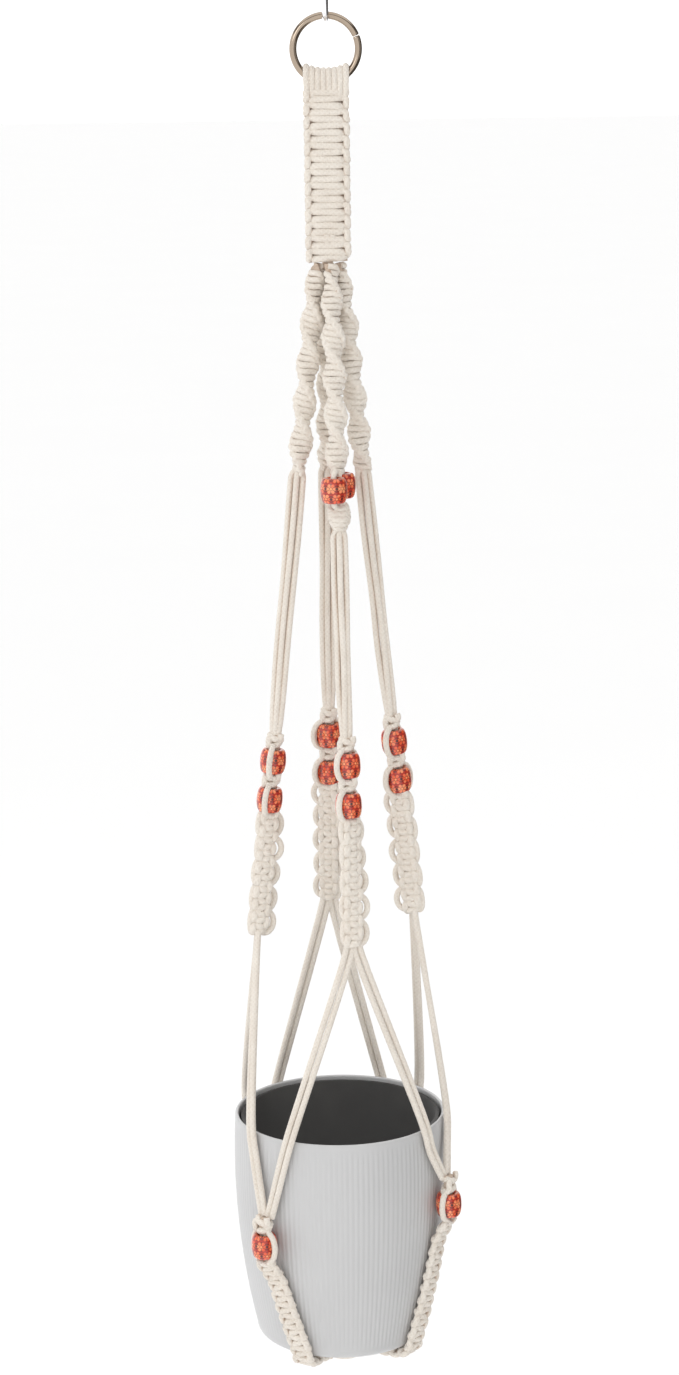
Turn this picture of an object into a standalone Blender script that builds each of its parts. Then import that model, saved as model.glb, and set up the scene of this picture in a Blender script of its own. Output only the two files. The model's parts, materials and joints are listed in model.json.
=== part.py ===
"""Hanging macrame planter: a steel S-hook and ring, a knotted cotton cord hanger with wooden
beads, and a ribbed cover pot with a nursery pot inside it.

Metres, +Z up. The origin is where the rail touches the inside of the hook's upper bend, so
everything else hangs below it. The front of the hanger faces -Y. Azimuths are degrees from the
front, turning towards +X.
"""

import math

import bmesh
import bpy
from mathutils import Vector

# S-hook, steel wire bent in the YZ plane
HOOK_WIRE = 0.005
HOOK_UPPER_BEND = 0.0184
HOOK_LOWER_BEND = 0.029
HOOK_BEND_SPACING = 0.062
HOOK_UPPER_TIP = 51.0
HOOK_LOWER_TIP = 136.0
HOOK_UPPER_TAIL = 0.0188
HOOK_LOWER_TAIL = 0.0164
HOOK_BALL = 0.008
BALL_SOCKET_DEPTH = 0.002

# Split ring, in the XZ plane
RING_OUTER = 0.054
RING_WIRE = 0.0055
RING_JOINT_AZIMUTH = 22.0
RING_JOINT_GAP = 0.0004

# Cord and the gathered column under the ring
CORD = 0.0048
COLUMN_WIDTH = 0.034
COLUMN_DEPTH = 0.016
COLUMN_LENGTH = 0.128
COLUMN_EDGE = 0.004
COLUMN_BELOW_RING = 0.0015
LOOP_SPREAD = 43.0
LOOP_PLAY = 0.0014

# Four legs: azimuth, and how far the hand-tied knots sit below (+) or above (-) the mean
LEGS = {"front": (11.0, 0.0), "right": (103.0, -0.005), "back": (186.0, -0.003), "left": (-86.0, 0.006)}
LEG_START_RADIUS = 0.0085
LEG_SPLIT_RADIUS = 0.062
SPIRAL_TOP_GAP = 0.0015
SPIRAL_LENGTH = 0.157
SPIRAL_WIDTH = 0.018
SPIRAL_NECK = 0.0125
SPIRAL_PITCH = 0.031
STRAIGHT_LENGTH = 0.200
BUNDLE = 0.010
COLLAR_LENGTH = 0.0105
COLLAR = 0.015
MIDDLE_KNOT_LENGTH = 0.0110
SENNIT_LENGTH = 0.098
SENNIT_WIDTH = 0.018
SENNIT_NECK = 0.014
SENNIT_PITCH = 0.0196

# Beads
BEAD_WIDTH = 0.0204
BEAD_LENGTH = 0.0190
BEAD_HOLE = 0.0094
BEAD_FACE = 0.0136
BEAD_ROUNDING = 0.8

# Pair of beads either side of the front leg
PAIR_TURN = 14.5
PAIR_STANDOFF = 0.0128
PAIR_CORE = 0.0042
PAIR_KNOT = 0.0175
PAIR_KNOT_LENGTH = 0.022
PAIR_KNOT_WIDEST = (0.3, 0.7)

# Cords from the legs to the cradle
PAIR_CORDS = 0.0062
SPLIT_GAP = 0.0035
RIM_SPREAD = 13.0
RIM_DRIFT = 3.25
RIM_REACH = 0.0155

# Cradle: azimuth at its bead, azimuth where it rounds the pot's foot, drop of its bead below the rim
CRADLE = {
    "front_left": (-40.0, -26.0, 0.0850),
    "front_right": (63.0, 50.0, 0.0640),
    "back_right": (145.0, 138.0, 0.0760),
    "back_left": (-132.0, -128.0, 0.0780),
}
CRADLE_KNOT = 0.0130
CRADLE_KNOT_LENGTH = 0.013
CRADLE_KNOT_TOP = 0.0104
STRAP_WIDTH = 0.018
STRAP_THICKNESS = 0.008
STRAP_TOP_GAP = 0.003
STRAP_END_GAP = 0.0025
BOTTOM_KNOT = 0.034
BOTTOM_KNOT_HEIGHT = 0.021
BOTTOM_KNOT_FORWARD = 0.014

# Cover pot: a turned barrel, widest a little under its rim
POT_HEIGHT = 0.184
POT_WIDEST = 0.0845
POT_WIDEST_HEIGHT = 0.145
POT_CURVE = 0.832
POT_FOOT_FILLET = 0.008
POT_WALL = 0.0025
POT_FLOOR = 0.003
POT_DROP = 1.037

# Nursery pot
NURSERY_WALL = 0.0014
NURSERY_FLOOR = 0.002
NURSERY_SIDE_GAP = 0.0018
NURSERY_LIP = 0.0016
NURSERY_LIP_HEIGHT = 0.010
NURSERY_BELOW_RIM = 0.003
DRAIN_HOLE = 0.009
DRAIN_HOLES = 5
DRAIN_CIRCLE = 0.034

# Gap kept between touching pieces
GAP = 0.0003

HOOK_UPPER_Z = HOOK_WIRE / 2 - HOOK_UPPER_BEND
HOOK_LOWER_Z = HOOK_UPPER_Z - HOOK_BEND_SPACING
HOOK_SADDLE_Z = HOOK_LOWER_Z - HOOK_LOWER_BEND
RING_RADIUS = (RING_OUTER - RING_WIRE) / 2
RING_Z = HOOK_SADDLE_Z + HOOK_WIRE / 2 + 2 * GAP + RING_WIRE / 2 - RING_RADIUS
RING_TOP_Z = RING_Z + RING_OUTER / 2
COLUMN_TOP_Z = RING_Z - RING_OUTER / 2 - COLUMN_BELOW_RING
COLUMN_BOTTOM_Z = COLUMN_TOP_Z - COLUMN_LENGTH
POT_BASE_Z = RING_TOP_Z - POT_DROP
POT_RIM_Z = POT_BASE_Z + POT_HEIGHT
LEG_LENGTH = (
    SPIRAL_LENGTH + STRAIGHT_LENGTH + COLLAR_LENGTH + MIDDLE_KNOT_LENGTH + 2 * BEAD_LENGTH + SENNIT_LENGTH
)
CORE_RADIUS = BEAD_HOLE / 2 - GAP

COATS = {
    "chrome": ((0.80, 0.80, 0.82), 0.12, 1.0),
    "nickel": ((0.62, 0.55, 0.48), 0.18, 1.0),
    "cotton": ((0.86, 0.80, 0.70), 0.90, 0.0),
    "painted_wood": ((0.62, 0.09, 0.04), 0.30, 0.0),
    "white_plastic": ((0.80, 0.81, 0.82), 0.45, 0.0),
    "black_plastic": ((0.03, 0.025, 0.02), 0.60, 0.0),
}


def clear_scene():
    for obj in list(bpy.data.objects):
        bpy.data.objects.remove(obj, do_unlink=True)


def new_collection(name):
    collection = bpy.data.collections.new(name)
    bpy.context.scene.collection.children.link(collection)
    return collection


def coat(name, kind):
    """A Principled material of its own for one part."""
    colour, roughness, metallic = COATS[kind]
    material = bpy.data.materials.new(name)
    material.use_nodes = True
    shader = material.node_tree.nodes["Principled BSDF"]
    shader.inputs["Base Color"].default_value = (*colour, 1.0)
    shader.inputs["Roughness"].default_value = roughness
    shader.inputs["Metallic"].default_value = metallic
    material.diffuse_color = (*colour, 1.0)
    return material


def add_part(name, data, kind, parent=None):
    """Links an object to the planter's collection and gives it its material."""
    part = bpy.data.objects.new(name, data)
    PLANTER.objects.link(part)
    data.materials.clear()
    data.materials.append(coat(name, kind))
    if parent:
        part.parent = parent
    if isinstance(data, bpy.types.Mesh):
        data.shade_smooth()
        data.set_sharp_from_angle(angle=math.radians(40))
    return part


def pivot(name, place, direction=Vector((0, 0, 1))):
    """An empty on a joint's axis: its own Z lies along the direction."""
    empty = bpy.data.objects.new(name, None)
    empty.empty_display_size = 0.01
    PLANTER.objects.link(empty)
    empty.location = place
    empty.rotation_mode = "QUATERNION"
    empty.rotation_quaternion = direction.to_track_quat("Z", "Y")
    return empty


def polar(azimuth, radius, z):
    angle = math.radians(azimuth)
    return Vector((radius * math.sin(angle), -radius * math.cos(angle), z))


def sideways(azimuth):
    """The level direction that turns towards a greater azimuth."""
    angle = math.radians(azimuth)
    return Vector((math.cos(angle), math.sin(angle), 0))


def smooth_route(points, spacing):
    """Points about a spacing apart on a centripetal Catmull-Rom curve through the given ones."""
    ends = [2 * points[0] - points[1], *points, 2 * points[-1] - points[-2]]
    route = []
    for before, start, end, after in zip(ends, ends[1:], ends[2:], ends[3:]):
        knots = [0.0]
        for near, far in ((before, start), (start, end), (end, after)):
            knots.append(knots[-1] + max((far - near).length, 1e-6) ** 0.5)
        steps = max(1, round((end - start).length / spacing))
        for step in range(steps):
            at = knots[1] + (knots[2] - knots[1]) * step / steps
            first = [
                points_between(near, far, knots[i], knots[i + 1], at)
                for i, (near, far) in enumerate(((before, start), (start, end), (end, after)))
            ]
            second = [points_between(first[i], first[i + 1], knots[i], knots[i + 2], at) for i in (0, 1)]
            route.append(points_between(second[0], second[1], knots[1], knots[2], at))
    return [*route, points[-1]]


def points_between(near, far, at_near, at_far, at):
    return near + (far - near) * ((at - at_near) / (at_far - at_near))


def tube(name, route, radii, kind, sides=2, parent=None):
    """A round bar along a route, with a radius at each point and filled ends."""
    data = bpy.data.curves.new(name, "CURVE")
    data.dimensions = "3D"
    data.bevel_depth = 1.0
    data.bevel_resolution = sides
    data.use_fill_caps = True
    data.twist_mode = "MINIMUM"
    spline = data.splines.new("POLY")
    spline.points.add(len(route) - 1)
    for point, place, radius in zip(spline.points, route, radii):
        point.co = (*place, 1.0)
        point.radius = radius
    return add_part(name, data, kind, parent)


def turned(name, profile, steps, kind, parent=None):
    """A profile of (radius, height) pairs, outer side first from the top down, turned round Z."""
    mesh = bpy.data.meshes.new(name)
    edges = [(i, (i + 1) % len(profile)) for i in range(len(profile))]
    edges = [(i, j) for i, j in edges if profile[i][0] or profile[j][0]]
    mesh.from_pydata([(radius, 0, height) for radius, height in profile], edges, [])
    part = add_part(name, mesh, kind, parent)
    screw = part.modifiers.new("turn", "SCREW")
    screw.steps = steps
    screw.render_steps = steps
    screw.use_merge_vertices = True
    screw.merge_threshold = 1e-5
    screw.use_smooth_shade = True
    return part


def cutter(name, mesh):
    tool = bpy.data.objects.new(name, mesh)
    CUTTERS.objects.link(tool)
    tool.hide_render = True
    tool.display_type = "WIRE"
    return tool


def cut(part, tool, operation="DIFFERENCE"):
    boolean = part.modifiers.new(tool.name, "BOOLEAN")
    boolean.operation = operation
    boolean.object = tool


def cylinder(name, radius, length, segments):
    mesh = bpy.data.meshes.new(name)
    shape = bmesh.new()
    bmesh.ops.create_cone(
        shape, cap_ends=True, segments=segments, radius1=radius, radius2=radius, depth=length
    )
    shape.to_mesh(mesh)
    shape.free()
    return mesh


def box(name, size, centre):
    mesh = bpy.data.meshes.new(name)
    shape = bmesh.new()
    bmesh.ops.create_cube(shape, size=1)
    bmesh.ops.scale(shape, vec=size, verts=shape.verts)
    bmesh.ops.translate(shape, vec=centre, verts=shape.verts)
    shape.to_mesh(mesh)
    shape.free()
    return mesh


def arc(centre_z, radius, start, end, steps):
    """Points of a bend in the hook's plane; angles run from -Y towards +Z."""
    angles = [math.radians(start + (end - start) * i / steps) for i in range(steps + 1)]
    return [Vector((0, -radius * math.cos(a), centre_z + radius * math.sin(a))) for a in angles]


def make_hook():
    """Upper bend, the straight that crosses between the bends, lower bend and two short tails."""
    cross = math.degrees(math.asin((HOOK_UPPER_BEND + HOOK_LOWER_BEND) / HOOK_BEND_SPACING))
    upper = arc(HOOK_UPPER_Z, HOOK_UPPER_BEND, HOOK_UPPER_TIP, 180 + cross, 14)
    lower = arc(HOOK_LOWER_Z, HOOK_LOWER_BEND, cross, -HOOK_LOWER_TIP, 18)
    upper_out = (upper[0] - upper[1]).normalized()
    lower_out = (lower[-1] - lower[-2]).normalized()
    upper_ball = upper[0] + upper_out * HOOK_UPPER_TAIL
    lower_ball = lower[-1] + lower_out * HOOK_LOWER_TAIL
    seat = HOOK_BALL / 2 - BALL_SOCKET_DEPTH
    route = [upper_ball - upper_out * seat, *upper, *lower, lower_ball - lower_out * seat]
    tube("s_hook", route, [HOOK_WIRE / 2] * len(route), "chrome")
    for name, ball, out in (
        ("s_hook_upper_ball", upper_ball, upper_out),
        ("s_hook_lower_ball", lower_ball, lower_out),
    ):
        make_ball(name, ball, out)


def make_ball(name, place, out):
    """A ball pressed on the end of the wire: a sphere with a blind socket."""
    mesh = bpy.data.meshes.new(name)
    shape = bmesh.new()
    bmesh.ops.create_uvsphere(shape, u_segments=12, v_segments=8, radius=HOOK_BALL / 2)
    shape.to_mesh(mesh)
    shape.free()
    ball = add_part(name, mesh, "chrome", pivot(name + "_seat", place, out))
    depth = HOOK_BALL
    socket = cutter(name + "_socket", cylinder(name + "_socket", HOOK_WIRE / 2 + GAP / 2, depth, 16))
    socket.parent = ball.parent
    socket.location = (0, 0, BALL_SOCKET_DEPTH - HOOK_BALL / 2 + GAP / 2 - depth / 2)
    cut(ball, socket)


def make_ring():
    """A wire bent into a circle, its ends meeting at the joint."""
    steps = 36
    half_gap = math.degrees(RING_JOINT_GAP / 2 / RING_RADIUS)
    start, end = RING_JOINT_AZIMUTH + half_gap, RING_JOINT_AZIMUTH + 360 - half_gap
    angles = [math.radians(start + (end - start) * i / steps) for i in range(steps + 1)]
    route = [Vector((RING_RADIUS * math.cos(a), 0, RING_Z + RING_RADIUS * math.sin(a))) for a in angles]
    tube("hanging_ring", route, [RING_WIRE / 2] * len(route), "nickel")


def make_loops():
    """The folds of cord over the ring: a bent bar astride the wire, cut off above the column."""
    angles = [math.radians(-90 + LOOP_SPREAD * (i / 6 - 1)) for i in range(13)]
    route = [Vector((RING_RADIUS * math.cos(a), 0, RING_Z + RING_RADIUS * math.sin(a))) for a in angles]
    channel = RING_WIRE / 2 + LOOP_PLAY
    outer = channel + CORD
    bar = tube("loops_bar", route, [outer] * len(route), "cotton")
    mesh = bpy.data.meshes.new_from_object(bar.evaluated_get(bpy.context.evaluated_depsgraph_get()))
    shape = bmesh.new()
    shape.from_mesh(mesh)
    bmesh.ops.remove_doubles(shape, verts=shape.verts, dist=1e-6)
    shape.to_mesh(mesh)
    shape.free()
    bpy.data.objects.remove(bar, do_unlink=True)
    loops = add_part("ring_loops", mesh, "cotton")
    bpy.ops.mesh.primitive_torus_add(
        major_segments=40, minor_segments=10, major_radius=RING_RADIUS, minor_radius=channel
    )
    wire = bpy.context.object
    wire.data.transform(wire.matrix_world)
    groove = cutter("loops_groove", wire.data)
    bpy.data.objects.remove(wire, do_unlink=True)
    groove.rotation_euler = (math.pi / 2, 0, 0)
    groove.location = (0, 0, RING_Z)
    cut(loops, groove)
    depth = COLUMN_DEPTH * 2
    centre = (0, 0, COLUMN_TOP_Z + GAP - depth / 2)
    cut(loops, cutter("loops_foot", box("loops_foot", (RING_OUTER, depth, depth), centre)))


def make_column():
    size = (COLUMN_WIDTH, COLUMN_DEPTH, COLUMN_LENGTH)
    centre = (0, 0, (COLUMN_TOP_Z + COLUMN_BOTTOM_Z) / 2)
    column = add_part("gathering_column", box("gathering_column", size, centre), "cotton")
    rounding = column.modifiers.new("rounding", "BEVEL")
    rounding.width = COLUMN_EDGE
    rounding.segments = 3


def leg_point(azimuth, drop):
    """A point of a leg's straight centre line, a drop below the column."""
    slope = (LEG_SPLIT_RADIUS - LEG_START_RADIUS) / LEG_LENGTH
    return polar(azimuth, LEG_START_RADIUS + slope * drop, COLUMN_BOTTOM_Z - drop)


def leg_bar(name, azimuth, sections):
    """A bar along a leg, through (drop, radius) sections."""
    route = [leg_point(azimuth, drop) for drop, _ in sections]
    return tube(name, route, [radius for _, radius in sections], "cotton")


def lobes(start, length, neck, width, pitch):
    """Sections of a knotted length that swells once in each pitch."""
    count = round(length / (pitch / 4))
    swell = (width - neck) / 4
    sections = []
    for i in range(count + 1):
        drop = length * i / count
        sections.append((start + drop, neck / 2 + swell * (1 - math.cos(math.tau * drop / pitch))))
    return sections


def make_bead(name, place, direction):
    """A barrel bead with a straight hole, turned about its own pivot."""
    half, bulge = BEAD_LENGTH / 2, BEAD_WIDTH / 2
    corner = (BEAD_FACE / 2, half)
    outer = []
    steps = 4
    for i in range(steps + 1):
        angle = math.radians(90 - 180 * i / steps)
        swell = math.cos(angle) ** BEAD_ROUNDING if 0 < i < steps else 0.0
        outer.append((corner[0] + (bulge - corner[0]) * swell, half * math.sin(angle)))
    hole = BEAD_HOLE / 2
    profile = [*outer, (hole, -half), (hole, half)]
    return turned(name, profile, 12, "painted_wood", pivot(name + "_pivot", place, direction))


def room_between_legs(azimuth, drop):
    """The greatest radius a leg may have there and stay clear of the legs beside it."""
    turns = [abs((other - azimuth + 180) % 360 - 180) for other, _ in LEGS.values() if other != azimuth]
    from_axis = leg_point(azimuth, drop).xy.length
    return from_axis * math.sin(math.radians(min(turns) / 2)) - GAP


def make_leg(name, azimuth, shift):
    """Spiral, four straight cords, then one knotted length that carries two beads."""
    start = SPIRAL_TOP_GAP
    spiral = [
        (drop, min(radius, room_between_legs(azimuth, drop)))
        for drop, radius in lobes(start, SPIRAL_LENGTH - start, SPIRAL_NECK, SPIRAL_WIDTH, SPIRAL_PITCH)
    ]
    leg_bar(name + "_spiral", azimuth, spiral)
    cords_start = SPIRAL_LENGTH + 2 * GAP
    if name == "front":
        cords_start += BEAD_LENGTH + PAIR_KNOT_LENGTH + 4 * GAP
    collar = SPIRAL_LENGTH + STRAIGHT_LENGTH + shift
    cords_end = collar - GAP
    count = 6
    cords = [(cords_start + (cords_end - cords_start) * i / count, BUNDLE / 2) for i in range(count + 1)]
    leg_bar(name + "_cords", azimuth, cords)
    make_lower_leg(name, azimuth, collar)


def make_lower_leg(name, azimuth, collar):
    """Collar, core through a bead, middle knot, core through a bead, and the looped sennit."""
    collar_end = collar + COLLAR_LENGTH
    middle = collar_end + BEAD_LENGTH + 2 * GAP
    middle_end = middle + MIDDLE_KNOT_LENGTH
    sennit = middle_end + BEAD_LENGTH + 2 * GAP
    shoulder = GAP / 3
    sections = [(collar, BUNDLE / 2), (collar + COLLAR_LENGTH / 3, COLLAR / 2)]
    sections += [(collar_end - shoulder, COLLAR / 2), (collar_end, CORE_RADIUS)]
    sections += [(middle, CORE_RADIUS), (middle + shoulder, COLLAR / 2)]
    sections += [(middle_end - shoulder, COLLAR / 2), (middle_end, CORE_RADIUS)]
    sections += [(sennit, CORE_RADIUS)]
    sections += lobes(sennit + shoulder, SENNIT_LENGTH, SENNIT_NECK, SENNIT_WIDTH, SENNIT_PITCH)
    leg_bar(name + "_knotted_leg", azimuth, sections)
    along = leg_point(azimuth, 0) - leg_point(azimuth, LEG_LENGTH)
    for which, top in (("upper", collar_end), ("lower", middle_end)):
        centre = leg_point(azimuth, top + GAP + BEAD_LENGTH / 2)
        make_bead(f"{name}_{which}_bead", centre, along.normalized())


def leg_end(name):
    """Azimuth and drop of a leg's lower end, where its four cords part."""
    azimuth, shift = LEGS[name]
    return azimuth, LEG_LENGTH + shift + SPLIT_GAP


def make_bead_pair():
    """The two beads at the foot of the front spiral, their cords, and the knot under them."""
    azimuth = LEGS["front"][0]
    top = SPIRAL_LENGTH + 2 * GAP
    knot = top + BEAD_LENGTH + 2 * GAP
    fillers = PAIR_CORE / 2
    sections = [(top, fillers), (knot, fillers), (knot + GAP, BUNDLE / 2)]
    sections += [(knot + PAIR_KNOT_LENGTH * share, PAIR_KNOT / 2) for share in PAIR_KNOT_WIDEST]
    sections += [(knot + PAIR_KNOT_LENGTH, BUNDLE / 2)]
    leg_bar("front_pair_knot", azimuth, sections)
    outward = polar(-PAIR_TURN, 1, 0)
    middle = leg_point(azimuth, top + GAP + BEAD_LENGTH / 2)
    for which, side in (("outer", 1), ("inner", -1)):
        centre = middle + outward * (side * PAIR_STANDOFF)
        make_bead(f"front_{which}_bead", centre, Vector((0, 0, 1)))
        half = BEAD_LENGTH / 2
        route = [centre + Vector((0, 0, half)), centre, centre - Vector((0, 0, half))]
        tube(f"front_{which}_bead_cord", route, [CORD / 2] * 3, "cotton")


def wall_radius(z):
    """Outer radius of the cover pot at a height above its base."""
    return POT_WIDEST - POT_CURVE * (z - POT_WIDEST_HEIGHT) ** 2


def bead_place(name):
    """Azimuth, radius and height of a cradle bead."""
    azimuth, _, drop = CRADLE[name]
    z = POT_HEIGHT - drop
    return azimuth, wall_radius(z) + BEAD_WIDTH / 2 + 2 * GAP, z


def make_cradle_knot(name):
    """The knot where two pairs of cords meet, with its core through the bead."""
    azimuth, radius, z = bead_place(name)
    half = BEAD_LENGTH / 2
    shoulder = GAP / 3
    top = z + half + GAP + CRADLE_KNOT_LENGTH
    sections = [
        (top, CRADLE_KNOT_TOP / 2),
        (top - CRADLE_KNOT_LENGTH / 3, CRADLE_KNOT / 2),
        (z + half + GAP + shoulder, CRADLE_KNOT / 2),
        (z + half + GAP, CORE_RADIUS),
        (z - half, CORE_RADIUS),
    ]
    route = [polar(azimuth, radius, POT_BASE_Z + height) for height, _ in sections]
    tube(f"{name}_cradle_knot", route, [size for _, size in sections], "cotton")
    make_bead(f"{name}_bead", polar(azimuth, radius, POT_BASE_Z + z), Vector((0, 0, 1)))
    return top


def make_pair_cords(leg, cradle, side):
    """Two cords side by side from a leg, over the rim of the pot, to a cradle knot."""
    azimuth, drop = leg_end(leg)
    half = PAIR_CORDS / 2
    beside = half + GAP
    start = leg_point(azimuth, drop) + sideways(azimuth) * (side * beside)
    knot_azimuth, knot_radius, knot_z = bead_place(cradle)
    rim_azimuth = knot_azimuth - side * RIM_SPREAD
    clear = half + 2 * GAP
    over_rim = polar(rim_azimuth, wall_radius(POT_HEIGHT) + clear, POT_RIM_Z + half)
    under_rim = polar(
        rim_azimuth + side * RIM_DRIFT, POT_WIDEST + clear, POT_RIM_Z - RIM_REACH
    )
    top = POT_BASE_Z + knot_z + BEAD_LENGTH / 2 + CRADLE_KNOT_LENGTH + 4 * GAP
    end = polar(knot_azimuth, knot_radius - half, top) - sideways(knot_azimuth) * (side * beside)
    route = smooth_route([start, over_rim, under_rim, end], RIM_REACH)
    name = f"{leg}_to_{cradle}_cords"
    tube(name, route, [half] * len(route), "cotton")


def strap_route(name):
    """Down the wall from the bead, round the foot and under the base to the bottom knot."""
    top_azimuth, foot_azimuth, _ = CRADLE[name]
    _, bead_radius, bead_z = bead_place(name)
    off = STRAP_THICKNESS / 2 + 2 * GAP
    top = bead_z - BEAD_LENGTH / 2 - STRAP_TOP_GAP
    fillet_z = POT_FOOT_FILLET
    route = [polar(top_azimuth, bead_radius, POT_BASE_Z + top)]
    steps = 7
    landing = top - BEAD_LENGTH
    for i in range(steps + 1):
        z = landing + (fillet_z - landing) * i / steps
        azimuth = top_azimuth + (foot_azimuth - top_azimuth) * (top - z) / (top - fillet_z)
        route.append(polar(azimuth, wall_radius(z) + off, POT_BASE_Z + z))
    fillet_centre = wall_radius(fillet_z) - POT_FOOT_FILLET
    for angle in (30, 60, 90):
        reach = POT_FOOT_FILLET + off
        radius = fillet_centre + reach * math.cos(math.radians(angle))
        z = fillet_z - reach * math.sin(math.radians(angle))
        route.append(polar(foot_azimuth, radius, POT_BASE_Z + z))
    knot = Vector((0, -BOTTOM_KNOT_FORWARD, route[-1].z))
    inward = (knot - route[-1]).normalized()
    route.append(knot - inward * (BOTTOM_KNOT / 2 + STRAP_END_GAP))
    return smooth_route(route, STRAP_WIDTH / 2)


def make_strap(name):
    """A flat knotted band: a grid laid along the strap's route, with a thickness.

    It faces the pot's axis on the wall and turns to face the bottom knot under the base.
    """
    route = strap_route(name)
    mesh = bpy.data.meshes.new(name)
    shape = bmesh.new()
    bmesh.ops.create_grid(shape, x_segments=len(route) - 1, y_segments=1, size=1)
    last = len(route) - 1
    for vertex in shape.verts:
        place = route[round((vertex.co.x + 1) / 2 * last)]
        under = (POT_BASE_Z + POT_FOOT_FILLET - place.z) / (POT_FOOT_FILLET + STRAP_THICKNESS / 2)
        forward = BOTTOM_KNOT_FORWARD * min(max(under, 0), 1)
        outward = Vector((place.x, place.y + forward, 0)).normalized()
        across = Vector((-outward.y, outward.x, 0))
        vertex.co = place + across * (vertex.co.y * STRAP_WIDTH / 2)
    shape.to_mesh(mesh)
    shape.free()
    strap = add_part(f"{name}_strap", mesh, "cotton")
    wall = strap.modifiers.new("thickness", "SOLIDIFY")
    wall.thickness = STRAP_THICKNESS
    wall.offset = 0


def make_bottom_knot():
    """The wrapped knot under the pot where the four straps end."""
    mesh = bpy.data.meshes.new("bottom_knot")
    shape = bmesh.new()
    bmesh.ops.create_uvsphere(shape, u_segments=14, v_segments=8, radius=1)
    bmesh.ops.scale(shape, vec=(BOTTOM_KNOT / 2, BOTTOM_KNOT / 2, BOTTOM_KNOT_HEIGHT / 2), verts=shape.verts)
    shape.to_mesh(mesh)
    shape.free()
    knot = add_part("bottom_knot", mesh, "cotton")
    knot.location = (0, -BOTTOM_KNOT_FORWARD, POT_BASE_Z - BOTTOM_KNOT_HEIGHT / 2 - GAP)


def fillet_profile(radius, height, size):
    """The rounded foot of a turned pot, from its side to its base."""
    angles = [math.radians(a) for a in (0, 30, 60, 90)]
    return [(radius - size * (1 - math.cos(a)), height - size * math.sin(a)) for a in angles]


def make_cover_pot():
    """The ribbed cover pot's plain body: outer wall, foot, floor and inner wall."""
    steps = 7
    heights = [POT_HEIGHT + (POT_FOOT_FILLET - POT_HEIGHT) * i / steps for i in range(steps + 1)]
    outer = [(wall_radius(z), z) for z in heights[:-1]]
    outer += fillet_profile(wall_radius(POT_FOOT_FILLET), POT_FOOT_FILLET, POT_FOOT_FILLET)
    inner = [(wall_radius(z) - POT_WALL, max(z, POT_FLOOR)) for z in reversed(heights[:-1])]
    floor_edge = wall_radius(POT_FOOT_FILLET) - POT_WALL - POT_FOOT_FILLET / 2
    profile = [*outer, (0, 0), (0, POT_FLOOR), (floor_edge, POT_FLOOR), *inner]
    turned("cover_pot", profile, 40, "white_plastic", pivot("cover_pot_pivot", (0, 0, POT_BASE_Z)))


def nursery_radius(z):
    """Outer radius of the nursery pot's side: a straight taper that clears the cover pot."""
    base = POT_FLOOR + GAP
    base_radius = wall_radius(POT_FOOT_FILLET) - POT_WALL - POT_FOOT_FILLET / 2 - NURSERY_SIDE_GAP
    rim = POT_HEIGHT - NURSERY_BELOW_RIM
    rim_radius = wall_radius(POT_HEIGHT) - POT_WALL - NURSERY_LIP - NURSERY_SIDE_GAP
    return base_radius + (rim_radius - base_radius) * (z - base) / (rim - base)


def make_nursery_pot():
    """A thin tapered pot with a lip and drain holes, standing in the cover pot."""
    base = POT_FLOOR + GAP
    floor = base + NURSERY_FLOOR
    rim = POT_HEIGHT - NURSERY_BELOW_RIM
    shelf = rim - NURSERY_LIP_HEIGHT
    lip = nursery_radius(rim) + NURSERY_LIP
    profile = [(lip, rim), (lip, shelf), (nursery_radius(shelf), shelf), (nursery_radius(base), base)]
    profile += [(0, base), (0, floor), (nursery_radius(floor) - NURSERY_WALL, floor)]
    profile += [(nursery_radius(rim) - NURSERY_WALL, rim)]
    pot = turned("nursery_pot", profile, 32, "black_plastic", pivot("nursery_pot_seat", (0, 0, POT_BASE_Z)))
    weld = pot.modifiers.new("weld", "WELD")
    weld.merge_threshold = 1e-5
    for i in range(DRAIN_HOLES):
        drill = cutter(f"drain_{i}", cylinder(f"drain_{i}", DRAIN_HOLE / 2, NURSERY_FLOOR * 4, 10))
        drill.parent = pot.parent
        drill.location = polar(360 / DRAIN_HOLES * (i + 0.1), DRAIN_CIRCLE, base + NURSERY_FLOOR / 2)
        cut(pot, drill)


def main():
    make_hook()
    make_ring()
    make_loops()
    make_column()
    for name, (azimuth, shift) in LEGS.items():
        make_leg(name, azimuth, shift)
    make_bead_pair()
    for leg, cradle, side in (
        ("front", "front_left", -1),
        ("front", "front_right", 1),
        ("right", "front_right", -1),
        ("right", "back_right", 1),
        ("back", "back_right", -1),
        ("back", "back_left", 1),
        ("left", "back_left", -1),
        ("left", "front_left", 1),
    ):
        make_pair_cords(leg, cradle, side)
    for name in CRADLE:
        make_cradle_knot(name)
        make_strap(name)
    make_bottom_knot()
    make_cover_pot()
    make_nursery_pot()


clear_scene()
PLANTER = new_collection("hanging_macrame_planter")
CUTTERS = new_collection("cutters")
main()
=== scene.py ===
"""The looks of the hanging macrame planter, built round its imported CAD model.

Metres, +Z up, the front facing -Y. Every knotted length is made of cords that really cross: a spine
gives a place for each distance down it, and each crossing, edge loop and picot is a path near that
spine with a round cord carried along it.
"""

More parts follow.
